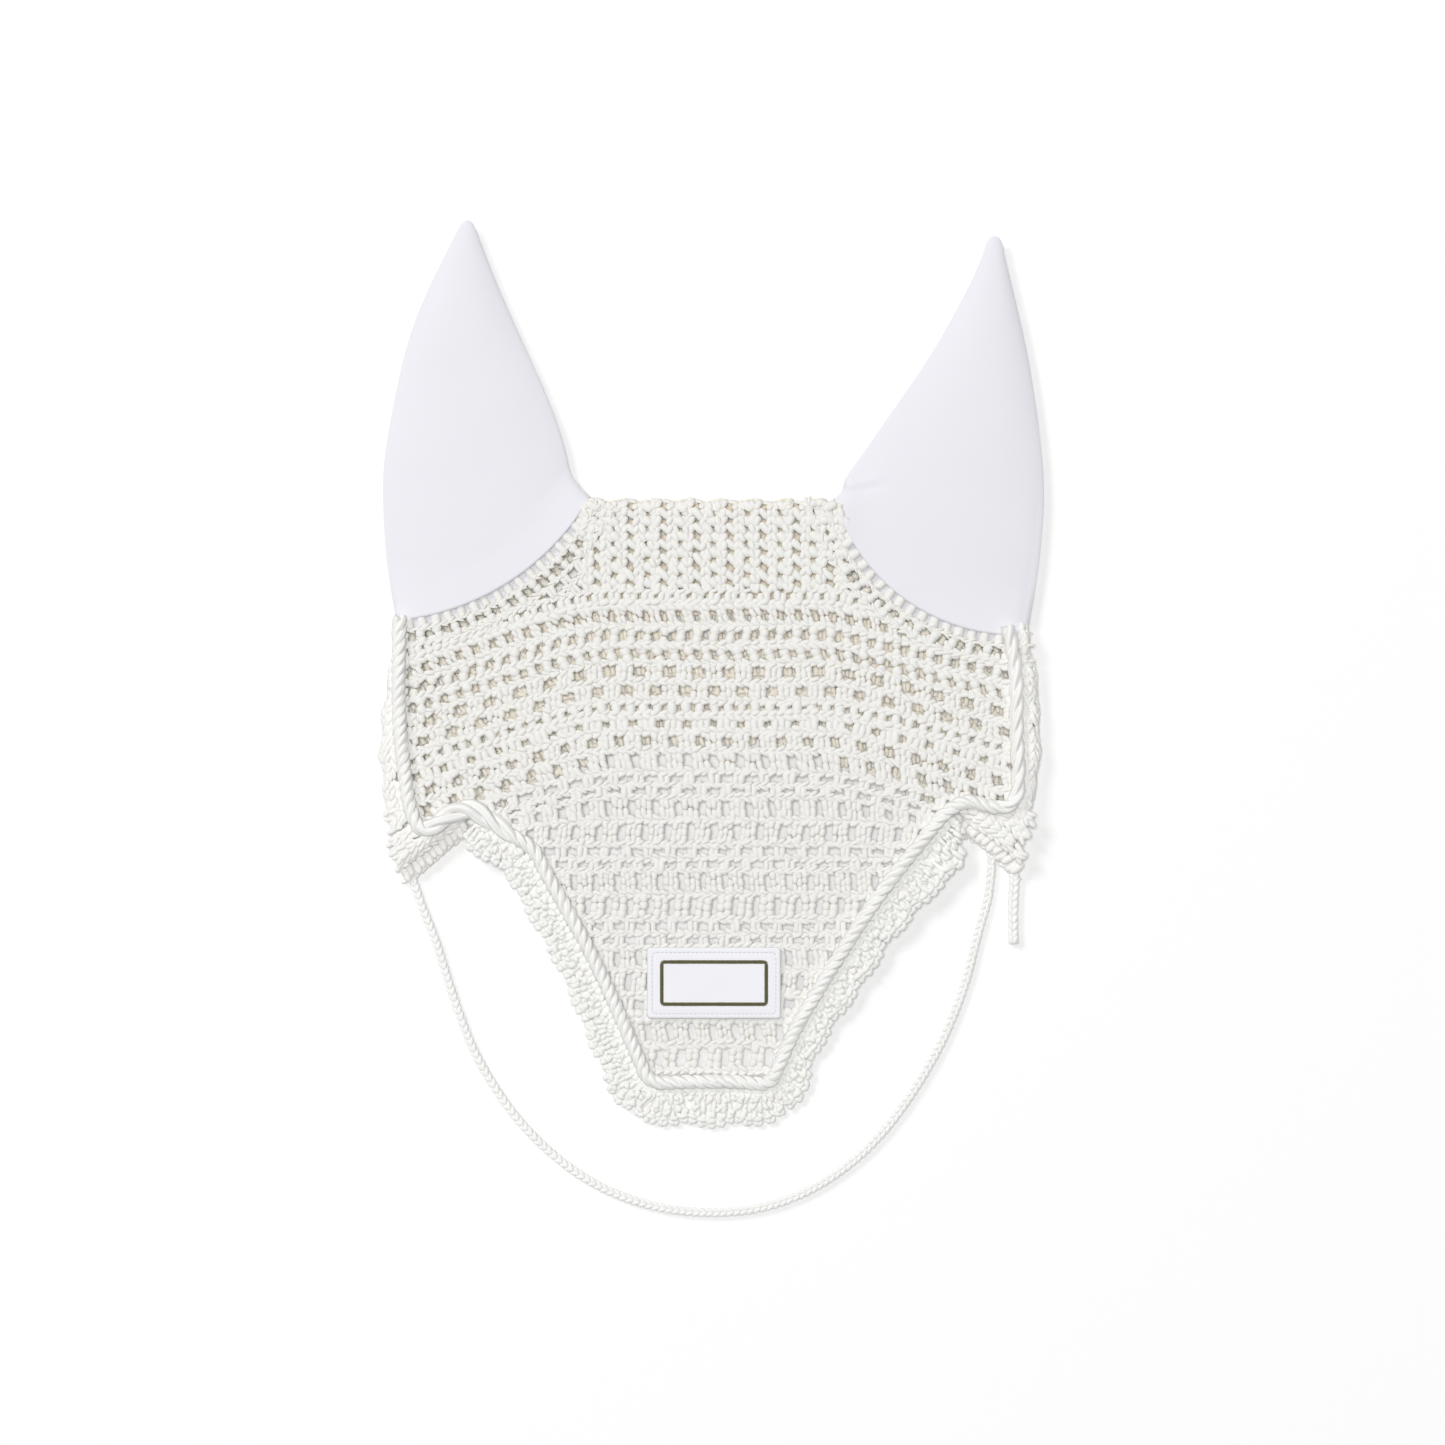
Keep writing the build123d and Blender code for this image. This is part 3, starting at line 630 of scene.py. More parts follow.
class Cloth:
    """A surface that stitches lie on: where(u, v) gives the point and the way it faces."""

    def __init__(self, where, keep, places=None):
        self.where = where
        self.keep = keep
        self.places = [] if places is None else places

    def loop(self, u, v, lean, length, width, depth, sink=0.0):
        """One loop at (u, v). A lean of 0 runs along u, and of a quarter turn along v."""
        v += 0.40 * sin(u / 19.0 + v * 0.7) + 0.25 * sin(u / 6.1 + v * 1.9)  # rows wander
        point, out = self.where(u, v)
        if not self.keep(point.x, point.y):
            return
        ahead, _ = self.where(u + 0.4, v)
        along = (ahead - point).normalized()
        across = out.cross(along)
        lean += wobble(0.16)
        run = along * cos(lean) + across * sin(lean)
        grow = 1 + wobble(0.10)
        point = point + out * (wobble(0.25) - sink) + along * wobble(0.32) + across * wobble(0.2)
        self.places.append(placed(point, run, out, length * grow, width * grow, depth * grow))

    def ridge(self, v, thick, u_from, u_to, pitch=4.4, way=1):
        """The tops of a row of stitches: loops that meet in a line of Vs, over a core."""
        count = max(1, round((u_to - u_from) / pitch))
        step = (u_to - u_from) / count
        for i in range(count):
            u = u_from + (i + 0.5) * step
            for side in (-1, 1):
                self.loop(
                    u, v + side * thick * arm_apart, -side * way * arm_lean,
                    step * arm_length, thick * arm_width, arm_depth,
                )
            self.loop(
                u + step / 2, v, 0.0, step * core_length, thick * core_width, core_depth, core_sink,
            )

    def posts(self, v, tall, pitch, hole, shift, lean, u_from, u_to):
        """The uprights of a row, with a hole between them at each pitch."""
        solid = pitch - hole
        across = max(1, round(solid / post_pitch))
        stack = max(1, round(tall / post_reach))
        first = ceil((u_from - shift) / pitch - 0.5)
        last = int((u_to - shift) / pitch - 0.5)
        for k in range(first, last + 1):
            centre = shift + (k + 0.5) * pitch
            for a in range(across):
                u = centre + (a - (across - 1) / 2) * solid / across
                stagger = post_stagger if (a + k) % 2 else -post_stagger
                for b in range(stack):
                    part = (b - (stack - 1) / 2) / stack
                    self.loop(
                        u + lean * part * tall,
                        v + part * (tall + post_apart) + stagger,
                        pi / 2 - lean * post_lean,
                        (tall + post_overlap) / stack * post_length,
                        solid / across * post_width, post_depth,
                    )

    def rows(self, rows, u_from, u_to):
        """Rows of holes, each (v, pitch, hole width, hole height, offset, lean), with ridges."""
        for i, (v, pitch, hole, tall, offset, lean) in enumerate(rows):
            self.posts(v, tall, pitch, hole, pitch / 2 if offset else 0.0, lean, u_from, u_to)
            if i + 1 < len(rows):
                low, high = v - tall / 2, rows[i + 1][0] + rows[i + 1][3] / 2
                thick = max(ridge_least, low - high) + ridge_cover
                self.ridge((low + high) / 2, thick, u_from, u_to, way=1 if i % 2 else -1)


# ------------------------------------------------------------------ lines and outlines
def drawn_curve(name, kind, points):
    """A curve in the scene through these places, given in metres, and its run of points."""
    curve = bpy.data.curves.new(name, "CURVE")
    curve.dimensions = "3D"
    spline = curve.splines.new(kind)
    spline.points.add(len(points) - 1)
    for point, place in zip(spline.points, points):
        point.co = (*place, 1)
    holder = bpy.data.objects.new(name, curve)
    bpy.context.scene.collection.objects.link(holder)
    return holder, spline


def smooth_line(points):
    """The points of a smooth curve through the run of these, which may be flat."""
    metres = [[step * MM for step in (*place, 0)[:3]] for place in points]
    holder, spline = drawn_curve("line", "NURBS", metres)
    holder.data.resolution_u = 12
    spline.order_u = 3
    spline.use_endpoint_u = True
    bpy.context.view_layer.update()
    mesh = bpy.data.meshes.new_from_object(holder)
    line = [Vector(v.co) / MM for v in mesh.vertices]
    bpy.data.objects.remove(holder)
    bpy.data.meshes.remove(mesh)
    return line


def even_line(line, step):
    """The same line with points at even steps."""
    spaced = [line[0].copy()]
    carry = 0.0
    for a, b in zip(line, line[1:]):
        length = (b - a).length
        while length > 1e-9 and carry + length >= step:
            share = (step - carry) / length
            a = a.lerp(b, share)
            spaced.append(a.copy())
            length = (b - a).length
            carry = 0.0
        carry += length
    return spaced


SIDES = {"left": -1, "right": 1}


def sided(points, side):
    return [(SIDES[side] * point[0], *point[1:]) for point in points]


def nose_z(y, above):
    """Height of a layer of the nose flap, which slopes down to the ground."""
    return above - front_z * max(0.0, min(1.0, (fold_y - y) / nose_length))


def seam_arc(side):
    """Centre and radius of an ear's seam, on the side of +X, and the angles it runs between,
    from its end beside the crown."""
    a, b, sag = ear_seams[side]
    run = Vector((b[0] - a[0], b[1] - a[1]))
    normal = Vector((-run.y, run.x)).normalized()
    radius = (run.length_squared / 4 + sag**2) / (2 * sag)
    middle = Vector(((a[0] + b[0]) / 2, (a[1] + b[1]) / 2)) - normal * sag
    centre = middle + normal * radius
    start, end = (atan2(y - centre.y, x - centre.x) for x, y in (a, b))
    if start > 0:
        start -= 2 * pi
    return centre, radius, start, end


def on_arc(centre, angle, reach, z):
    return Vector((centre.x + reach * cos(angle), centre.y + reach * sin(angle), z))


seam_arcs = {side: seam_arc(side) for side in SIDES}
rope_paths = {side: smooth_line(sided(points, side)) for side, points in rope_lines.items()}
crown_side = 66.0  # where the face's outline runs up to the crown band
face_outline = [(p.x, p.y) for p in rope_paths["left"]]
face_outline += [(p.x, p.y) for p in reversed(rope_paths["right"])]
face_outline += [(163.0, 60.0), (crown_side, 100.0), (crown_side, crown_low)]
face_outline += [(-crown_side, crown_low), (-crown_side, 100.0), (-163.0, 60.0)]


def within(outline, x, y):
    inside = False
    for (ax, ay), (bx, by) in zip(outline, outline[1:] + outline[:1]):
        if (ay > y) != (by > y) and x < (bx - ax) * (y - ay) / (by - ay) + ax:
            inside = not inside
    return inside


def off_ears(x, y, depth):
    """True where a place is at least this far below the seam of the ear on its side."""
    centre, radius, _, _ = seam_arcs["left" if x < 0 else "right"]
    return hypot(abs(x) - centre.x, y - centre.y) > radius + depth


drop_from, drop_curve = 52.0, 26.0  # the rows fall from here, at first in a curve


def row_drop(x):
    """How far the rows of the face have fallen at x. Those of the left side fall more."""
    reach = max(0.0, abs(x) - drop_from)
    return (0.34 if x < 0 else 0.27) * (hypot(reach, drop_curve) - drop_curve)


# ------------------------------------------------------------------ crocheted panels
# Rows from the crown down: place in the middle, pitch, hole width and height, offset, lean.
face_rows = [
    (41.5, 8.8, 2.2, 2.7, True, 0.0),
    (31.5, 9.0, 4.3, 6.7, False, -0.30),
    (21.2, 8.8, 4.7, 6.3, True, 0.22),
    (11.0, 8.4, 4.0, 6.3, False, -0.35),
    (1.6, 15.8, 7.0, 6.9, True, 0.0),
    (-8.4, 15.4, 6.4, 6.3, False, 0.0),
    (-17.0, 7.4, 3.2, 3.7, True, 0.0),
    (-25.8, 14.3, 4.4, 4.3, False, 0.0),
    (-35.2, 14.3, 5.4, 6.3, True, -0.1),
    (-45.6, 13.8, 4.8, 8.1, False, -0.2),
    (-54.8, 13.3, 7.4, 4.3, True, 0.0),
]
nose_rows = [
    (-61.2, 13.2, 7.3, 3.4, False, 0.0),
    (-70.5, 12.4, 4.2, 9.0, True, -0.08),
    (-83.2, 12.2, 4.2, 9.4, False, 0.1),
    (-93.3, 11.6, 6.3, 4.4, True, 0.0),
    (-100.3, 11.5, 6.3, 4.2, False, 0.0),
    (-109.4, 11.4, 3.6, 9.6, True, -0.08),
    (-122.6, 11.2, 3.8, 10.0, False, 0.12),
    (-133.2, 11.2, 6.3, 4.6, True, 0.0),
    (-140.6, 11.2, 6.3, 4.2, False, 0.0),
    (-150.4, 11.4, 3.8, 9.0, True, -0.1),
    (-162.6, 11.4, 3.8, 9.6, False, 0.1),
    (-174.4, 11.4, 6.3, 4.6, True, 0.0),
    (-189.6, 11.6, 4.0, 9.4, False, -0.15),
    (-202.6, 11.6, 4.4, 9.6, True, 0.15),
]
face_half, nose_half = 166.0, 134.0  # the rows are laid this far to each side
nose_from, arch_half = -50.0, 130.0  # the nose's own stitches start here, between the arches
top_ridge = (45.6, 4.2)  # place and thickness of the ridge above the first row
straight_in = 34.0  # the nose's rows are straight from this far below the fold


def on_face(u, v):
    y = v - row_drop(u)
    return Vector((u, y, nose_z(y, face_mid))), Vector((0, 0, 1))


def on_nose(u, v):
    y = v - row_drop(u) * max(0.0, 1 - (fold_y - v) / straight_in) ** 2
    return Vector((u, y, nose_z(y, face_mid))), Vector((0, 0, 1))


def in_face(x, y):
    return within(face_outline, x, y) and off_ears(x, y, ear_row_depth)


def part_of_forehead(x, y):
    return in_face(x, y) and (y > nose_from or abs(x) > arch_half)


def part_of_nose(x, y):
    return within(face_outline, x, y) and y <= nose_from and abs(x) <= arch_half


forehead = Cloth(on_face, part_of_forehead)
forehead.ridge(*top_ridge, -face_half, face_half)
forehead.rows([*face_rows, nose_rows[0]], -face_half, face_half)
nose = Cloth(on_face, part_of_nose)
nose.rows([*face_rows[6:], nose_rows[0]], -nose_half, nose_half)
nose.where = on_nose
nose.rows(nose_rows, -nose_half, nose_half)
nose.ridge(-209.5, 4.4, -40, 40)


def add_ear_row(places, side, middle, facing):
    """The row that follows the seam of an ear, with its binding over the ear's cloth."""
    centre, radius, start, end = seam_arcs[side]
    length = (end - start) * radius

    def where(u, v):
        place = on_arc(centre, start + u / radius, radius - v, middle)
        place.x *= SIDES[side]
        if facing > 0:  # under the edge of the ear's cloth
            place.z -= crochet / 2 * max(0.0, min(1.0, (v + 4.6) / 3.0))
        return place, Vector((0, 0, facing))

    binding_hole = 2.9 if side == "left" else 2.4
    row_shift = 4.4 if facing > 0 else 0.0
    row = Cloth(where, lambda x, y: abs(x) < 171 and y < 92.5, places)
    if facing < 0:
        row.ridge(-0.6, 2.6, 0, length)
    row.posts(-3.8, 5.0, 6.8, binding_hole, 0, 0.0, 0, length)
    row.ridge(-7.0, 2.5, 0, length, way=-1)
    row.posts(-10.9, 5.8, 8.8, 4.8, row_shift, 0.15, 0, length)
    row.ridge(-15.0, 3.2, -4, length)
    # short rows between it and the first row of the face
    fill = Cloth(where, lambda x, y: abs(x) > 69 and y + row_drop(x) > 47.5, places)
    for down in (0, 7.4, 14.8):
        fill.posts(-18.6 - down, 4.4, 8.8, 4.2, 0, 0.1, 0, length)
        fill.ridge(-22.0 - down, 3.2, 0, length)


ear_row_places = []
for side in SIDES:
    add_ear_row(ear_row_places, side, face_mid + 0.4, 1)

# the crown band, folded over the poll
crown_flat = crown_top - top_z / 2 - crown_low
crown_bend = (top_z - crochet) / 2
crown_turn = pi * crown_bend


def crown_sheet(u, v):
    """u runs up the face, over the fold and down the back, and v across."""
    if u < crown_flat:
        return Vector((v, crown_low + u, face_mid)), Vector((0, 0, 1))
    if u < crown_flat + crown_turn:
        turn = (u - crown_flat) / crown_bend
        out = Vector((0, sin(turn), cos(turn)))
        return Vector((v, crown_low + crown_flat, top_z / 2)) + out * crown_bend, out
    rest = u - crown_flat - crown_turn
    return Vector((v, crown_low + crown_flat - rest, back_mid)), Vector((0, 0, -1))


def on_crown(u, v):
    """The same, with small waves along its upper edge."""
    from_fold = abs(u - crown_flat - crown_turn / 2)
    wave = Vector((0, 0.9 * sin(v / 2.7) * max(0.0, 1 - from_fold / 12), 0))
    place, out = crown_sheet(u, v)
    return place + wave, out


crown = Cloth(on_crown, lambda x, y: abs(x) < 71 and off_ears(x, y, -1.5))
crown_length = 2 * crown_flat + crown_turn
hole_pitch = 8.1
side_column = (hole_pitch, 4.0, 2.2, False, 0.3)
# columns of wide and of narrow holes, by turns, from right to left
crown_columns = [(70.0, *side_column)]
for i in range(15):
    hole, tall = (3.7, 3.0) if i % 2 else (4.8, 4.3)
    crown_columns.append((61.6 - 8.8 * i, hole_pitch, hole, tall, i % 2 == 0, 0.5))
crown_columns.append((-70.0, *side_column))
crown.rows(crown_columns, -1, crown_length + 1)

# the back of the head tube
back_rows = [(40.0 - 9.3 * i, 9.4, 1.8, 4.2, i % 2 == 0, 0.1) for i in range(15)]


def on_back(u, v):
    return Vector((u, v - row_drop(u), back_mid)), Vector((0, 0, -1))


def part_of_back(x, y):
    """The back ends in a shallow arch below, and runs down to the tabs beside it."""
    above = y > -36.0 - 42.0 * (x / 131.0) ** 2 and (abs(x) < 131 or y > -84)
    return above and in_face(x, y)


back = Cloth(on_back, part_of_back)
back.ridge(*top_ridge, -face_half, face_half)
back.rows(back_rows, -face_half, face_half)
for side in SIDES:
    add_ear_row(back.places, side, back_mid, -1)

forehead_piece = laid("forehead_crochet", forehead.places, crochet_finish)
ear_row_piece = laid("ear_row_crochet", ear_row_places, crochet_finish)
nose_piece = laid("nose_crochet", nose.places, nose_finish, under=0.3)
crown_piece = laid("crown_crochet", crown.places, crochet_finish)
back_piece = laid("back_crochet", back.places, back_finish, BACK_LOOP)

for piece, nodes in (
    (forehead_piece, ["forehead_panel"]),
    (ear_row_piece, []),
    (crown_piece, ["crown_band"]),
    (back_piece, ["back_panel"]),
):
    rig.ride(piece, "bonnet")
    if nodes:
        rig.replaces(piece, *nodes)
    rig.slot(piece, "crochet")
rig.blend(nose_piece, "bonnet", "nose_flap", (0, -0.054, 0.0105), (0, -0.070, 0.0105))
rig.replaces(nose_piece, "nose_panel")
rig.slot(nose_piece, "crochet")

# ------------------------------------------------------------------ side edgings and tabs
edging_in = {"left": 166.5, "right": 164.5}  # where the edging starts, beside the rope
edging_top = {"left": 27.0, "right": 24.0}
edging_wave = {"left": 0.9, "right": 0.5}
edging_low = -76.0
edging_pitch = 4.3  # from one row of it to the next
edging_sink = 1.6  # how far its middle lies below the top of the face
edging_bend = 4.4  # radius of its fold
side_outer = 175.3
side_spare = 0.8  # the loops stand this far out from the line that they lie on
side_swell = {  # how far the edge of each side stands out, at places down it
    "left": [(30.0, -6.0), (6.0, -3.6), (-6.0, -0.8), (-24.0, 1.4), (-42.0, 1.9), (-60.0, 0.4),
             (-80.0, -1.2)],
    "right": [(26.0, -8.6), (16.0, -8.0), (9.0, -6.2), (0.0, -4.0), (-12.0, -2.4),
              (-40.0, -2.4), (-56.0, -3.6), (-66.0, -5.4), (-80.0, -6.4)],
}
edging_gaps = {  # places of the gaps between its stitches
    "left": [(172.4, -20.0), (168.6, -54.5), (166.0, -69.0), (163.0, -78.5)],
    "right": [(163.6, 7.0), (169.2, -13.5), (169.6, -27.5), (165.5, -70.5), (159.4, -90.5)],
}
gap_wide, gap_tall = 1.9, 2.6  # half of each


def with_gaps(places, side, back_z):
    """The same loops without those in the gaps. Loops below back_z are on the back and stay."""
    def clear(place):
        return all(
            ((abs(place.x) - x) / gap_wide) ** 2 + ((place.y - y) / gap_tall) ** 2 > 1
            for x, y in edging_gaps[side]
        )

    return [
        loop for loop in places
        if loop.translation.z < back_z * MM or clear(loop.translation / MM)
    ]


def swell_at(side, y):
    """How far the edge of a side stands out at this height."""
    stops = side_swell[side]
    for (ya, a), (yb, b) in zip(stops, stops[1:]):
        if y > yb:
            return a + (b - a) * max(0.0, min(1.0, (ya - y) / (ya - yb)))
    return stops[-1][1]


def add_side_edging(side):
    """Crochet folded round the side of the head tube."""
    start = edging_in[side]
    bend = edging_bend
    flat = side_outer - side_spare - bend - start
    turn_length = pi * bend
    level = top_z - edging_sink

    def where(u, v):
        """u runs down the side, and v over its face, round the fold and along the back."""
        wave = edging_wave[side] * sin(u / 3.4 + 1) + 0.4 * sin(u / 8.7)
        swell = swell_at(side, u)
        if v < flat:
            place, out = Vector((start + v, u, level)), Vector((0, 0, 1))
            swell *= max(0.0, v / flat)
        elif v < flat + turn_length:
            turn = (v - flat) / bend
            out = Vector((sin(turn), 0, cos(turn)))
            place = Vector((start + flat, u, level - bend)) + out * (bend + wave * sin(turn))
        else:
            out = Vector((0, 0, -1))
            place = Vector((start + flat - (v - flat - turn_length), u, level - 2 * bend))
        place.x += swell
        place.x *= SIDES[side]
        out.x *= SIDES[side]
        return place, out

    edging = Cloth(where, lambda x, y: y > edging_low)
    v = -1.2
    way = -1
    while v < 2 * flat + turn_length + 1:
        edging.ridge(v, 5.0, edging_low, edging_top[side], pitch=5.0, way=way)
        v += edging_pitch
        way = -way
    return laid(side + "_edging_crochet", with_gaps(edging.places, side, 8.0), edge_finish)


tab_outlines = {
    "left": [(160.5, -71.0), (155.0, -82.0), (141.0, -72.5), (131.4, -70.0), (131.4, -86.5),
             (145.0, -97.5), (157.0, -108.6), (162.0, -109.4), (165.0, -105.0), (168.6, -99.0),
             (170.8, -90.0), (173.8, -68.0)],
    "right": [(160.0, -68.0), (147.0, -69.0), (135.0, -66.0), (131.0, -72.0), (131.6, -86.5),
              (141.0, -91.5), (149.0, -98.6), (156.6, -108.0), (160.8, -108.0), (162.2, -100.0),
              (164.4, -91.4), (167.4, -80.0), (169.6, -66.0)],
}
tab_borders = {
    "left": [(131.6, -84.6), (145.5, -95.5), (159.6, -107.4)],
    "right": [(131.6, -84.0), (144.0, -91.4), (151.0, -98.2), (159.6, -107.4)],
}
# short ends of the cords within each tab: both ends of each and its thickness
cord_stubs = {
    "left": [((159.7, -103.5), (159.8, -108.2), cord_d)],
    "right": [((159.2, -102.5), (159.6, -108.3), tail_d),
              ((147.0, -94.5), (147.4, -101.0), cord_d)],
}
tab_point = 4.4  # thickness of a tab along its free edge
tab_slope = 0.7  # how fast it grows from there
tab_turn = 14.0  # above this, its rows run straight
line_step = 0.5  # between the places of its free edge


def add_tab(side):
    """A tab: two layers drawn together, thinning out to its point."""
    sign = SIDES[side]
    outline = sided(tab_outlines[side], side)
    line = even_line(smooth_line(sided(tab_borders[side], side)), line_step)
    last = len(line) - 1
    long = last * line_step
    start, end = line[0], line[-1]
    upward = Vector((0, 0, 1))
    slant = upward.cross((end - start).normalized()) * sign

    def thickness(place):
        return min(top_z, tab_point + max(0.0, (place - start).dot(slant)) * tab_slope)

    def where_on(layer):
        def where(u, v):
            """u runs along the free edge to the point, and v up from it."""
            i = int(max(0, min(last - 1, u / line_step)))
            along = (line[min(i + 4, last)] - line[max(i - 4, 0)]).normalized()
            if u / line_step > i + 1 or u < 0:
                along = (end - start).normalized()
            up = upward.cross(along) * sign
            up = up.lerp(slant, min(1.0, v / tab_turn)).normalized()
            place = line[i] + along * (u - i * line_step) + up * v
            place.z = thickness(place) - crochet / 2 if layer > 0 else crochet / 2
            return place, Vector((0, 0, layer))
        return where

    places = []
    for layer in (1, -1):
        cloth = Cloth(where_on(layer), lambda x, y: within(outline, x, y), places)
        cloth.ridge(0.9, 3.4, -6, long + 3)
        cloth.posts(4.2, 4.2, 3.6, 0.2, 0.0, 0.1, -6, long + 6)
        for i in range(10):
            cloth.ridge(8.6 + 4.4 * i, 4.8, -34, long + 26, pitch=4.9, way=1 if i % 2 else -1)
    places = with_gaps(places, side, 2.0)
    for (ax, ay), (bx, by), thick in cord_stubs[side]:
        level = thick / 2 + 0.1
        route = [Vector((sign * ax, ay, level)), Vector((sign * bx, by, level))]
        places += chain_places(route, thick, thick * 0.8)
    return laid(side + "_tab_crochet", places, edge_finish)


# how the loops of a chain lie, as shares of its thickness, and how they lean and overlap
chain_apart, chain_rise, chain_width, chain_depth = 0.2, 0.13, 0.56, 0.6
chain_lean, chain_overlap = 0.45, 1.5


def chain_places(line, thick, pitch):
    """A crocheted chain: pairs of loops that follow a line."""
    steps = even_line(line, pitch)
    if (steps[-1] - line[-1]).length > pitch / 4:
        steps.append(line[-1])
    places = []
    for a, b in zip(steps, steps[1:]):
        run = (b - a).normalized()
        across = Vector((0, 0, 1)).cross(run)
        for side_way in (-1, 1):
            for level in (-1, 1):
                middle = (a + b) / 2 + across * side_way * thick * chain_apart
                middle.z += level * thick * chain_rise
                way = run * cos(chain_lean) - across * side_way * level * sin(chain_lean)
                places.append(placed(
                    middle, way, Vector((0, 0, level)),
                    pitch * chain_overlap, thick * chain_width, thick * chain_depth,
                ))
    return places


for side in SIDES:
    for piece, node in (
        (add_side_edging(side), side + "_side_edging"), (add_tab(side), side + "_tab"),
    ):
        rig.ride(piece, "bonnet")
        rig.replaces(piece, node)
        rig.slot(piece, "crochet")

# ------------------------------------------------------------------ satin rope round the face
strand_r = 2.15
strand_off = 1.9  # from the rope's middle to a strand's
strand_step = 1.4
strand_fuller = 0.24  # how much thicker a strand is where it lies loosest
rope_sink = 0.4  # how far the rope is pressed into the face
arch_x = 128.0  # between here and its mirror image, the rope lies on the nose flap
rope_lead = 17.0  # one full turn of the rope's strands
arch_lead, side_lead = 44.0, 34.0  # the same over the left arch and down the right side
arch_from, arch_to = -152, -106
loosest_x, loose_reach, loosest = -131, 26, 1.2
side_x = 152


def rope_height(place):
    level = front_z + rope_d / 2 - rope_sink
    return nose_z(place.y, level) if abs(place.x) < arch_x else level


def looseness(place):
    """How much further apart the strands lie where the rope rounds the left arch."""
    if place.x > 0:
        return 0.0
    return loosest * max(0.0, 1 - ((place.x - loosest_x) / loose_reach) ** 2)


def rope_turn(place):
    """Length of one turn of the strands, which lie looser over the left arch and down the
    right side."""
    if arch_from < place.x < arch_to:
        return arch_lead
    if place.x > side_x:
        return side_lead
    return rope_lead + 2.0 * sin(place.y / 23)


def strand(name, line):
    """One round strand along a line of places."""
    holder, spline = drawn_curve(name, "POLY", [place * MM for place in line])
    holder.data.bevel_depth = strand_r * MM
    holder.data.bevel_resolution = 2  # 8 flats round
    holder.data.use_fill_caps = True
    for point, place in zip(spline.points, line):
        point.radius = 1 + strand_fuller * looseness(place)
    bpy.ops.object.select_all(action="DESELECT")
    holder.select_set(True)
    bpy.context.view_layer.objects.active = holder
    bpy.ops.object.convert(target="MESH")
    piece = bpy.context.object
    bpy.ops.object.shade_smooth()
    piece.data.materials.append(rope_finish)
    return piece


def joined(name, parts):
    bpy.ops.object.select_all(action="DESELECT")
    for part in parts:
        part.select_set(True)
    bpy.context.view_layer.objects.active = parts[0]
    bpy.ops.object.join()
    piece = bpy.context.object
    piece.name = name
    piece.data.name = name
    return piece


def twisted(name, path):
    """Three strands turning round a path, so that two ropes that meet run on into each other."""
    line = even_line(path, strand_step)
    first = pi / 2 - sum(2 * pi * strand_step / rope_turn(place) for place in line)
    strands = []
    for k in range(3):
        points = []
        turn = first + 2 * pi * k / 3
        for i, place in enumerate(line):
            ahead = line[min(i + 1, len(line) - 1)] - line[max(i - 1, 0)]
            side_way = Vector((-ahead.y, ahead.x, 0)).normalized()
            turn += 2 * pi * strand_step / rope_turn(place)
            offset = side_way * cos(turn) + Vector((0, 0, 1)) * sin(turn)
            points.append(place + offset * strand_off + side_way * cos(turn) * looseness(place))
        strands.append(strand(f"{name}_{k}", points))
    return joined(name, strands)


rope_pieces = {}
for side, sign in SIDES.items():
    path = [Vector((p.x, p.y, rope_height(p))) for p in rope_paths[side]]
    path.append(path[-1] - Vector((sign * 1.5, 0, 0)))
    rope = twisted("rope_" + side + "_strands", path)
    near, far = (sign * 0.140, -0.072, 0.013), (sign * 0.112, -0.072, 0.013)
    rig.blend(rope, "bonnet", "nose_flap", near, far)
    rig.slot(rope, "rope")
    rope_pieces[side] = rope
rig.replaces(rope_pieces["left"], "rope_left", "rope_nose")
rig.replaces(rope_pieces["right"], "rope_right")

# ------------------------------------------------------------------ scalloped lace
nose_rope = [
    Vector((p.x, p.y, 0)) for p in [*rope_paths["left"], *reversed(rope_paths["right"])]
    if p.y < -70 and abs(p.x) < arch_x
]
nose_line = even_line(nose_rope, 1.0)
nose_long = len(nose_line) - 1
lace_root, lace_depth, shell_bulge = 6.4, 12.4, 4.8  # where it starts and how far it reaches
lace_middle = 11.0
lace_thick = 2.1
lace_rise = 1.4  # how far its loops lie above the underside of the nose flap
shell_pitch = 25.0


def beside_rope(u, v):
    """A place u along the rope of the nose, from the left, and v outside it."""
    i = max(1, min(nose_long - 1, int(u)))
    here = nose_line[i].lerp(nose_line[i + 1], u - int(u)) if i == int(u) else nose_line[i]
    ahead = nose_line[min(i + 6, nose_long)] - nose_line[max(i - 6, 0)]
    out = Vector((ahead.y, -ahead.x, 0)).normalized()
    if out.dot(here - Vector((0, -110, 0))) < 0:
        out = -out
    place = here + out * v
    place.z = nose_z(place.y, front_z + lace_rise) + 0.5
    return place, out


# length along the middle of the lace, at each millimetre of the rope
reached = [0.0]
for i in range(nose_long):
    step = beside_rope(i + 1, lace_middle)[0] - beside_rope(i, lace_middle)[0]
    reached.append(reached[-1] + hypot(step.x, step.y))
shells = round(reached[-1] / shell_pitch)
shell_width = reached[-1] / shells
lace_places = []


def rope_place(s):
    """The place on the rope at s along the middle of the lace."""
    i = 0
    while i < nose_long - 1 and reached[i + 1] < s:
        i += 1
    return i + (s - reached[i]) / max(0.01, reached[i + 1] - reached[i])


def lay_lace(s, v, lean, length, width, lift):
    """One loop of the lace, s along it. A lean of 0 runs outwards."""
    place, out = beside_rope(rope_place(s), v)
    place.z += lift + wobble(0.3)
    run = Matrix.Rotation(lean + wobble(0.14), 3, "Z") @ out
    grow = 1 + wobble(0.10)
    lace_places.append(placed(
        place, run, Vector((0, 0, 1)), length * grow, width * 1.15 * grow, lace_thick * grow,
    ))


# how much further the lace reaches here and there: share along it, 1 / half width, how far
lace_swells = [(0.66, 9, -2.8), (0.33, 9, 1.6), (0.95, 8, 6.0)]


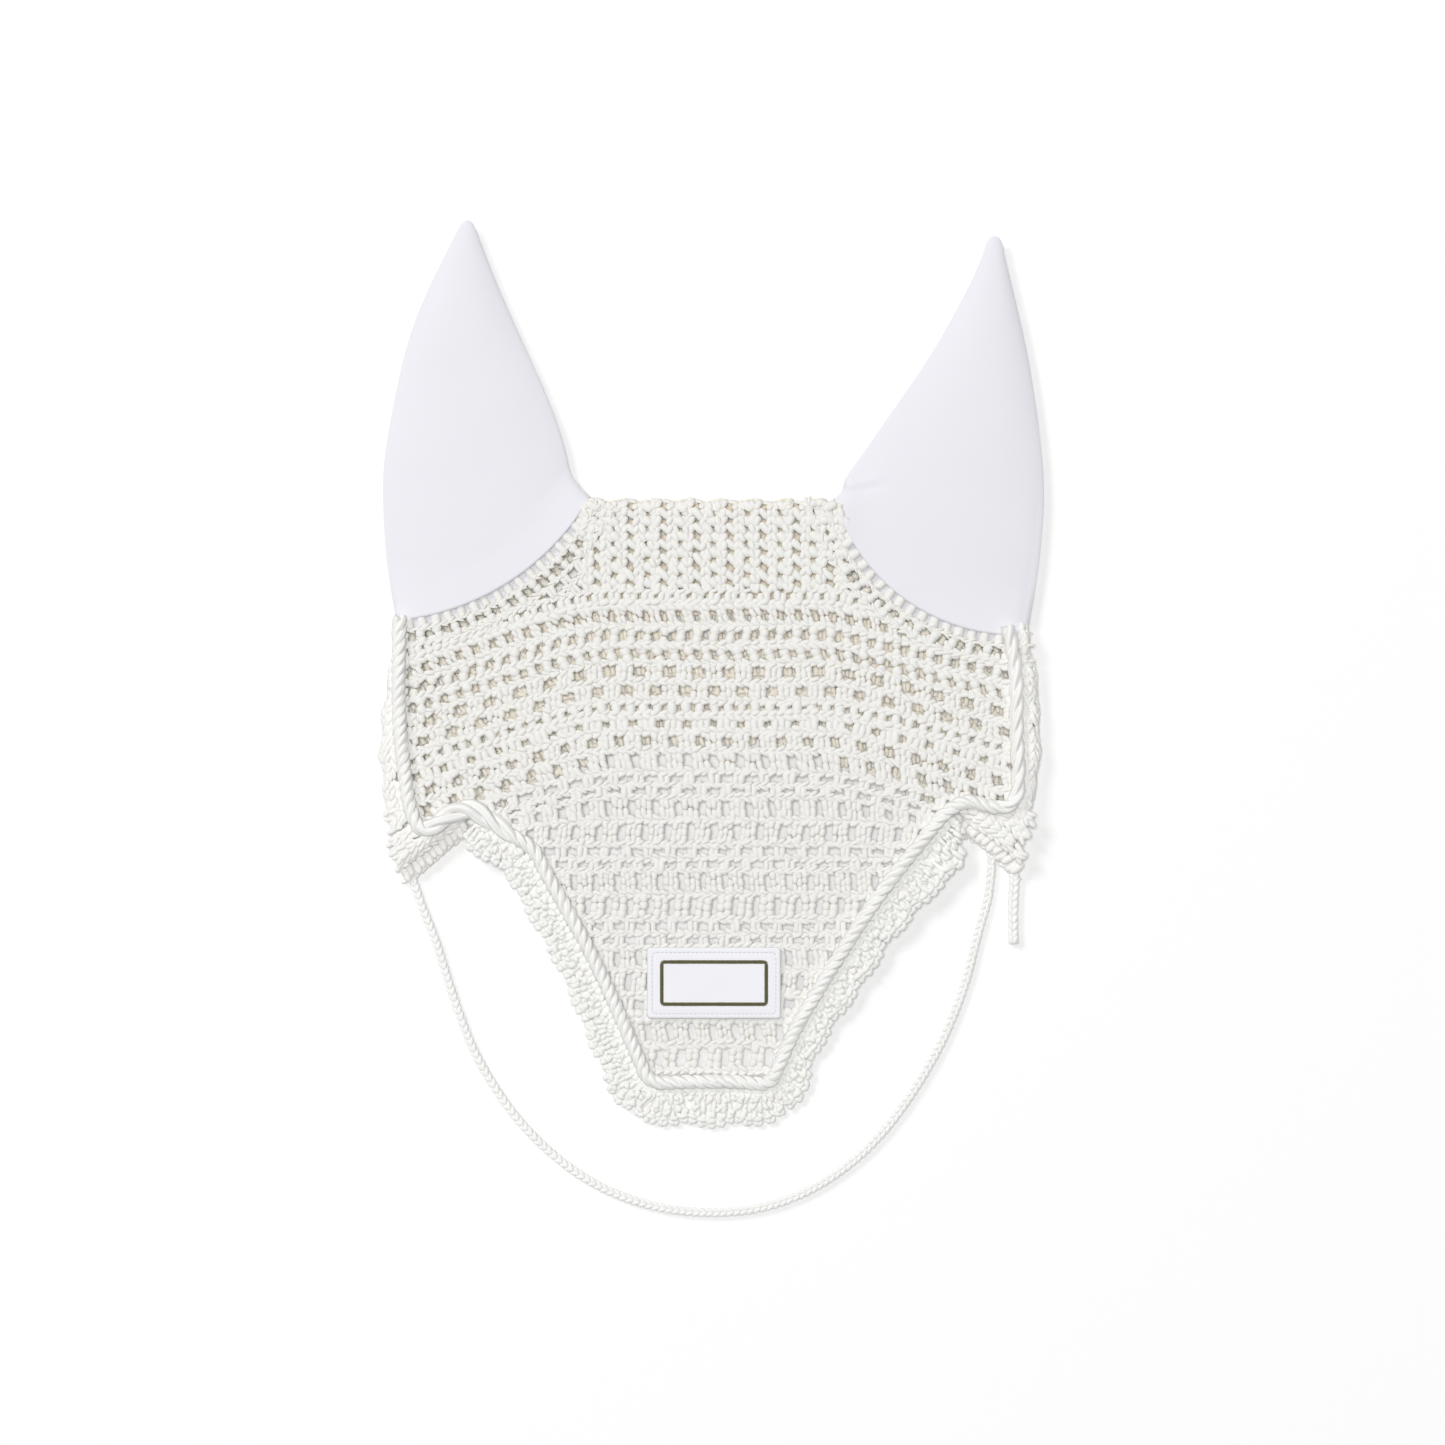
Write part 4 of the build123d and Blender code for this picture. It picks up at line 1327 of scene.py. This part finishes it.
def shell_depth(s):
    """How far the lace reaches at s along it: a shallow scallop over each shell."""
    across = 2 * (s / shell_width % 1) - 1
    share = s / reached[-1]
    middle = max(0.0, 1 - abs(share - 0.5) * 7)
    more = sum(max(0.0, 1 - abs(share - at) * sharp) * far for at, sharp, far in lace_swells)
    return lace_depth + shell_bulge * sqrt(max(0.0, 1 - across * across)) + 5.0 * middle + more


def lay_shell(k):
    """One shell: posts that fan out from the rope, loose loops over them and a scalloped edge."""
    middle = (k + 0.5) * shell_width
    posts, strays, bumps = 8, 16, 5
    for i in range(posts):
        across = 2 * (i + 0.5) / posts - 1
        head = middle + across * shell_width * 0.49
        deep = shell_depth(head)
        for step in range(3):
            share = (step + 0.5) / 3
            lay_lace(
                middle + across * shell_width * (0.40 + 0.09 * share),
                lace_root + (deep - lace_root) * share, across * 0.4,
                (deep - lace_root) / 3 * 1.45, 2.1 + 1.1 * share, 0.5 if (i + step) % 2 else -0.3,
            )
    for _ in range(strays):
        s = (k + random.random()) * shell_width
        share = random.random()
        reach = lace_root + 0.6 + (shell_depth(s) - lace_root - 2.4) * share
        lay_lace(s, reach, wobble(1.3), 3.9, 2.7, 0.9)
    for i in range(bumps):
        s = (k + (i + 0.5) / bumps) * shell_width
        across = 2 * (i + 0.5) / bumps - 1
        deep = shell_depth(s)
        for lean in (-0.75, 0.75):
            lay_lace(s - lean * 1.3, deep + 1.2, across * 0.6 + lean * 0.8, 4.4, 3.0, 0.1)
        lay_lace(s, deep - 1.0, pi / 2 + across * 0.5, 5.4, 3.0, 0.7)


for k in range(shells):
    lay_shell(k)
# the row that holds the lace to the rope
s = 1.5
while s < reached[-1] - 1.5:
    for lean in (-0.45, 0.45):
        lay_lace(s, 5.4 + lean * 1.6, pi / 2 + lean, 5.4, 2.9, 0.2)
    s += 3.6

lace_half, lace_top = 131.2, -75.5  # the lace ends beside the tabs
lace_places = [
    loop for loop in lace_places
    if abs(loop.translation.x) < lace_half * MM and loop.translation.y < lace_top * MM
]
# a thin closed plate that its loops lie on
lace_ground = 0.15
lace_grid = []
s = 1.0
while s < reached[-1] - 1.0:
    row = []
    for j in range(6):
        v = lace_root - 1.0 + (shell_depth(s) + 0.4 - lace_root) * j / 5
        row.append(beside_rope(rope_place(s), v)[0] - Vector((0, 0, 0.3)))
    if all(abs(p.x) < lace_half - 0.8 and p.y < lace_top - 0.9 for p in row):
        lace_grid.append(row)
    s += 1.8
lace_piece = joined("lace_shells", [
    laid("lace_shells", lace_places, lace_finish),
    backing("lace_ground", lace_grid, lace_ground, lace_finish),
])
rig.ride(lace_piece, "nose_flap")
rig.replaces(lace_piece, "nose_lace")
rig.slot(lace_piece, "lace")

# ------------------------------------------------------------------ blank label patch
patch_box = [Vector(corner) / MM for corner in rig.box("label_patch")]
patch_middle = (patch_box[0] + patch_box[1]) / 2
patch_size = patch_box[1] - patch_box[0]
patch_cloth = 1.2  # how far its upper side lies above its underside
patch_wall = 0.9
patch_lift = 0.2  # above the stitches
patch_corner = 2.0
seam_in = 2.7  # the stitches that hold it, in from its edge
frame_in = 7.8  # the stitched frame, in from its edge
nose_tilt = atan2(front_z, nose_length)
patch_width, patch_height = patch_size.x, patch_size.y / cos(nose_tilt)
patch_turn = Matrix.Rotation(nose_tilt, 3, "X")


def on_patch(x, y, z):
    """A place on the patch: x and y from its middle, and z above its underside."""
    level = nose_z(patch_middle.y, top_z) + patch_lift
    return Vector((patch_middle.x, patch_middle.y, level)) + patch_turn @ Vector((x, y, z))


def patch_swell(x, y):
    """The patch lies a little unevenly, as sewn cloth does."""
    return 0.12 * sin(x / 6.0 + 1) * sin(y / 5.0) + 0.1 * sin(x / 11.0)


def patch_ring(inset, corner, step, z):
    """Places round the patch, this far in from its edge, each with the way to the next."""
    half_w, half_h = patch_width / 2 - inset, patch_height / 2 - inset
    ring = []
    for k, (sx, sy) in enumerate(((1, 1), (-1, 1), (-1, -1), (1, -1))):
        cx, cy = sx * (half_w - corner), sy * (half_h - corner)
        for i in range(7):
            angle = (k + i / 6) * pi / 2
            ring.append(Vector((cx + corner * cos(angle), cy + corner * sin(angle), 0)))
    ring.append(ring[0].copy())
    ring = even_line(ring, step)
    for a, b in zip(ring, ring[1:]):
        middle = (a + b) / 2
        yield on_patch(middle.x, middle.y, z + patch_swell(middle.x, middle.y)), b - a


bpy.ops.object.select_all(action="DESELECT")
bpy.ops.mesh.primitive_grid_add(x_subdivisions=70, y_subdivisions=38, size=1)
patch = bpy.context.object
patch.name = "label_cloth"
for vertex in patch.data.vertices:
    x, y = vertex.co.x * patch_width, vertex.co.y * patch_height
    edge = min(patch_width / 2 - abs(x), patch_height / 2 - abs(y))
    dx = abs(x) - (patch_width / 2 - patch_corner)
    dy = abs(y) - (patch_height / 2 - patch_corner)
    if dx > 0 and dy > 0 and hypot(dx, dy) > patch_corner:  # drawn in to the round corner
        x = (abs(x) - dx + dx * patch_corner / hypot(dx, dy)) * (1 if x > 0 else -1)
        y = (abs(y) - dy + dy * patch_corner / hypot(dx, dy)) * (1 if y > 0 else -1)
    groove = 0.35 * max(0.0, 1 - abs(edge - seam_in) / 0.9)
    roll = 0.5 * (1 - min(1.0, max(0.0, edge) / 1.2)) ** 2
    vertex.co = on_patch(x, y, patch_cloth - groove - roll + patch_swell(x, y)) * MM
bpy.ops.object.shade_smooth()
patch.data.materials.append(patch_finish)
add_wall(patch, patch_wall)

upward = Vector((0, 0, 1))
border = laid("label_border_stitches", [  # along the edge, in the groove
    placed(place, way, upward, 1.9, 0.55, 0.6)
    for place, way in patch_ring(seam_in, 1.2, 2.3, patch_cloth - 0.2)
], white_thread)
frame_piece = laid("label_frame_stitches", [  # close together, across the frame's line
    placed(place, way.cross(upward) + way * 0.25, upward, 2.2 + wobble(0.12), 0.85, 0.8)
    for place, way in patch_ring(frame_in, 1.0, 0.62, patch_cloth + 0.1)
], thread_finish)
for piece, node, name in (
    (patch, "label_patch", "patch"),
    (border, None, "patch"),
    (frame_piece, "label_frame", "thread"),
):
    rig.ride(piece, "nose_flap")
    if node:
        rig.replaces(piece, node)
    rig.slot(piece, name)

# ------------------------------------------------------------------ ear covers
def smooth_edge(points, count):
    """This many points, evenly spaced, on a smooth curve through the run of points."""
    line = smooth_line(points)
    length = sum((b - a).length for a, b in zip(line, line[1:]))
    spaced = even_line(line, length / (count - 1) * 0.99999)
    while len(spaced) < count:
        spaced.append(line[-1].copy())
    return spaced[:count]


ear_levels, ear_across = 140, 52  # from its base to its tip, and from edge to edge
ear_wall = 0.5  # one layer of the cloth
ear_half, ear_belly, ear_edge = 4.4, 0.9, 0.5  # half its thickness: base, more midway, tip
crease = (Vector((69.5, 98.4, 0)), Vector((83.0, 101.2, 0)))  # fold at the foot of the right ear
crease_height, crease_width = 3.0, 2.2
hem_in, hem_half, hem_top = 3.2, 1.4, 0.36  # the right ear's hem runs up to this share of it


def beside(place, start, end):
    """Signed distance of a place from a short line, and how far it is past its ends."""
    run = end - start
    share = (place - start).dot(run) / run.length_squared
    across = Vector((0, 0, 1)).cross(run.normalized())
    return (place - start).dot(across), max(0.0, -share, share - 1)


def ear_relief(side, place, share, t, layer):
    """Small unevenness of an ear's cloth: wrinkles, the hem and the crease."""
    lift = 0.22 * sin(place.x / 13 + place.y / 21 + layer) * sin(place.y / 17 - place.x / 40)
    if side == "right" and layer > 0:
        far, past = beside(place, *crease)
        if past < 0.6:
            bulge = 2.718 ** (-((far / crease_width) ** 2))
            lift += crease_height * (far / 2.0) * bulge * (1 - past / 0.6)
        hem = abs(share * 104 - hem_in)
        if t < hem_top and hem < hem_half:
            lift -= 0.9 * (1 - hem / hem_half) * min(1.0, (hem_top - t) / 0.05)
    return lift


def add_ear(side):
    """A pocket of cloth with a front and a back that close along both edges and at the tip."""
    outer, inner = (smooth_edge([*edge, ear_tips[side]], ear_levels) for edge in ear_edges[side])
    centre, radius, start, end = seam_arcs[side]

    def place_at(k, share, layer):
        """A place on a layer: level k, and this share of the way from outer to inner edge."""
        t = k / (ear_levels - 1)
        place = outer[k].lerp(inner[k], share)
        angle = end + (start - end) * share
        on_seam = on_arc(centre, angle, radius + (1.0 if layer > 0 else 2.6), 0)
        chord = outer[0].lerp(inner[0], share)
        place += (on_seam - chord) * (1 - t) ** 2.2
        puff = (1 - abs(2 * share - 1) ** 2.4) ** 0.8
        half = (ear_half + ear_belly * sin(pi * t)) * (1 - t ** 6) + ear_edge
        if layer > 0:  # over the crochet, flat out to the sides
            near_seam = max(0.0, 1 - t / 0.12)
            puff += ((1 - abs(2 * share - 1) ** 9) ** 0.5 - puff) * near_seam
            half += 1.0 * max(0.0, 1 - t / 0.08)
        place.z = 0.0
        relief = ear_relief(side, place, share, t, layer) * puff * (1 - t ** 4)
        place.z = top_z / 2 + layer * (half * puff * (0.98 if layer > 0 else 1.0)) + relief
        place.x *= SIDES[side]
        return place

    work = bmesh.new()
    rings = []
    for k in range(ear_levels):
        ring = []
        for layer in (1, -1):
            for i in range(ear_across + 1):
                if layer < 0 and i in (0, ear_across):
                    continue  # the two layers share their edges
                even = i / ear_across
                share = (even + 0.5 * (1 - cos(pi * even))) / 2  # closer together at the edges
                place = place_at(k, share if layer > 0 else 1 - share, layer)
                ring.append(work.verts.new(place * MM))
        rings.append(ring)
    for low, high in zip(rings, rings[1:]):
        for i in range(len(low)):
            j = (i + 1) % len(low)
            work.faces.new((low[i], low[j], high[j], high[i]))
    work.faces.new(rings[-1])
    bmesh.ops.recalc_face_normals(work, faces=work.faces)
    for low, high in zip(rings, rings[1:]):
        for i in (0, ear_across):
            work.edges.get((low[i], high[i])).smooth = False
    for face in work.faces:
        face.smooth = True
    area = sum(face.calc_area() for face in work.faces)
    ear = made(side + "_ear_cloth", work, ear_finish)
    add_wall(ear, ear_wall)
    return ear, area


allowance_sink = 1.6  # how far the allowance lies below the middle of the face
allowance_steps = 60


def add_allowance(side):
    """The strip of the ear's cloth that is sewn in under the crochet of its seam."""
    centre, radius, start, end = seam_arcs[side]
    work = bmesh.new()
    rows = []
    for i in range(allowance_steps + 1):
        angle = start + (end - start) * (0.02 + 0.96 * i / allowance_steps)
        row = []
        for outwards in (-2.0, 2.4, 6.4):
            place = on_arc(centre, angle, radius + outwards, face_mid - allowance_sink)
            place.x *= SIDES[side]
            row.append(work.verts.new(place * MM))
        rows.append(row)
    for near, far in zip(rows, rows[1:]):
        for i in range(2):
            corners = (near[i], far[i], far[i + 1], near[i + 1])  # faces up on the left
            work.faces.new(corners if side == "left" else corners[::-1])
    strip = made(side + "_ear_allowance", work, ear_finish)
    add_wall(strip, ear_wall)
    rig.ride(strip, "bonnet")
    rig.slot(strip, "ear_cloth")


fold_lines = {"left": (-118.711, 63.828), "right": (118.711, 63.828)}  # a place on each fold
fold_way = (0.5528, 0.8333)  # across the fold, towards the tip
fold_near, fold_far = 5, 9  # how far the cloth bends to each side of it
ear_cuts = {"left": (0.222, 0.214), "right": (0.224, 0.212)}  # cloth of both layers, opened flat
ear_parts = ("front", "back", "seam", "base_front", "base_back")
for side, sign in SIDES.items():
    ear, ear_area = add_ear(side)
    way = Vector((sign * fold_way[0], fold_way[1], 0))
    middle = Vector((*fold_lines[side], top_z / 2))
    near, far = (middle - way * fold_near) * MM, (middle + way * fold_far) * MM
    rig.blend(ear, "bonnet", side + "_ear", near, far)
    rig.replaces(ear, *[f"{side}_ear_{part}" for part in ear_parts])
    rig.slot(ear, "ear_cloth")
    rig.sheet(ear, flat=ear_cuts[side], held="laid", rests_on=[floor], area=ear_area)
    add_allowance(side)

# ------------------------------------------------------------------ throat cord and its loose end
tab_x, tab_y = 160.0, -108.0
cord_points = [
    (-1.0, 0.4), (-0.978, 12.0), (-0.925, 32.0), (-0.865, 64.0), (-0.785, 98.0), (-0.620, 136.0),
    (-0.380, 166.0), (-0.080, 179.0), (0.240, 174.0), (0.520, 145.0), (0.720, 100.0), (0.830, 60.0),
    (0.880, 26.0), (0.917, 8.0), (0.921, -7.2),
]
tail_points = [(0.4, 0.1), (1.8, 18.0), (1.0, 33.0)]
cord_route = [(share * tab_x, tab_y - drop, cord_d / 2 + 0.1) for share, drop in cord_points]
tail_route = [(tab_x - inward, tab_y - drop, tail_d / 2 + 0.1) for inward, drop in tail_points]


def add_chain(name, route, thick, pitch):
    """A free chain along its route, with its length and its line, both in metres."""
    line = smooth_line(route)
    piece = laid(name, chain_places(line, thick, pitch), cord_finish)
    length = sum((q - p).length for p, q in zip(line, line[1:])) * MM
    return piece, length, [tuple(p * MM) for p in line]


throat, throat_length, throat_path = add_chain("throat_cord_chain", cord_route, cord_d, 3.6)
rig.ride(throat, "throat_loop")
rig.replaces(throat, "throat_cord")
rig.slot(throat, "cord")
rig.cord(throat, exit=throat_path[0], length=throat_length, diameter=cord_d * MM, far_end="object",
        stiffness="limp", lay="loose", path=throat_path)
tail, tail_length, tail_path = add_chain("cord_tail_chain", tail_route, tail_d, 3.9)
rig.ride(tail, "bonnet")
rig.replaces(tail, "cord_tail")
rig.slot(tail, "cord")
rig.cord(tail, exit=tail_path[0], length=tail_length, diameter=tail_d * MM, far_end="bare",
        stiffness="limp", lay="loose", path=tail_path)

# ------------------------------------------------------------------ last of all
for name, node in frame["nodes"].items():
    if not node.hide_render and not node.material_slots[0].material:
        node.data.materials.append(crochet_finish)

json.dump(
    {"cad": cad_box, "visual": [list(corner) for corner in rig.bounds()]},
    open("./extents.json", "w"),
)
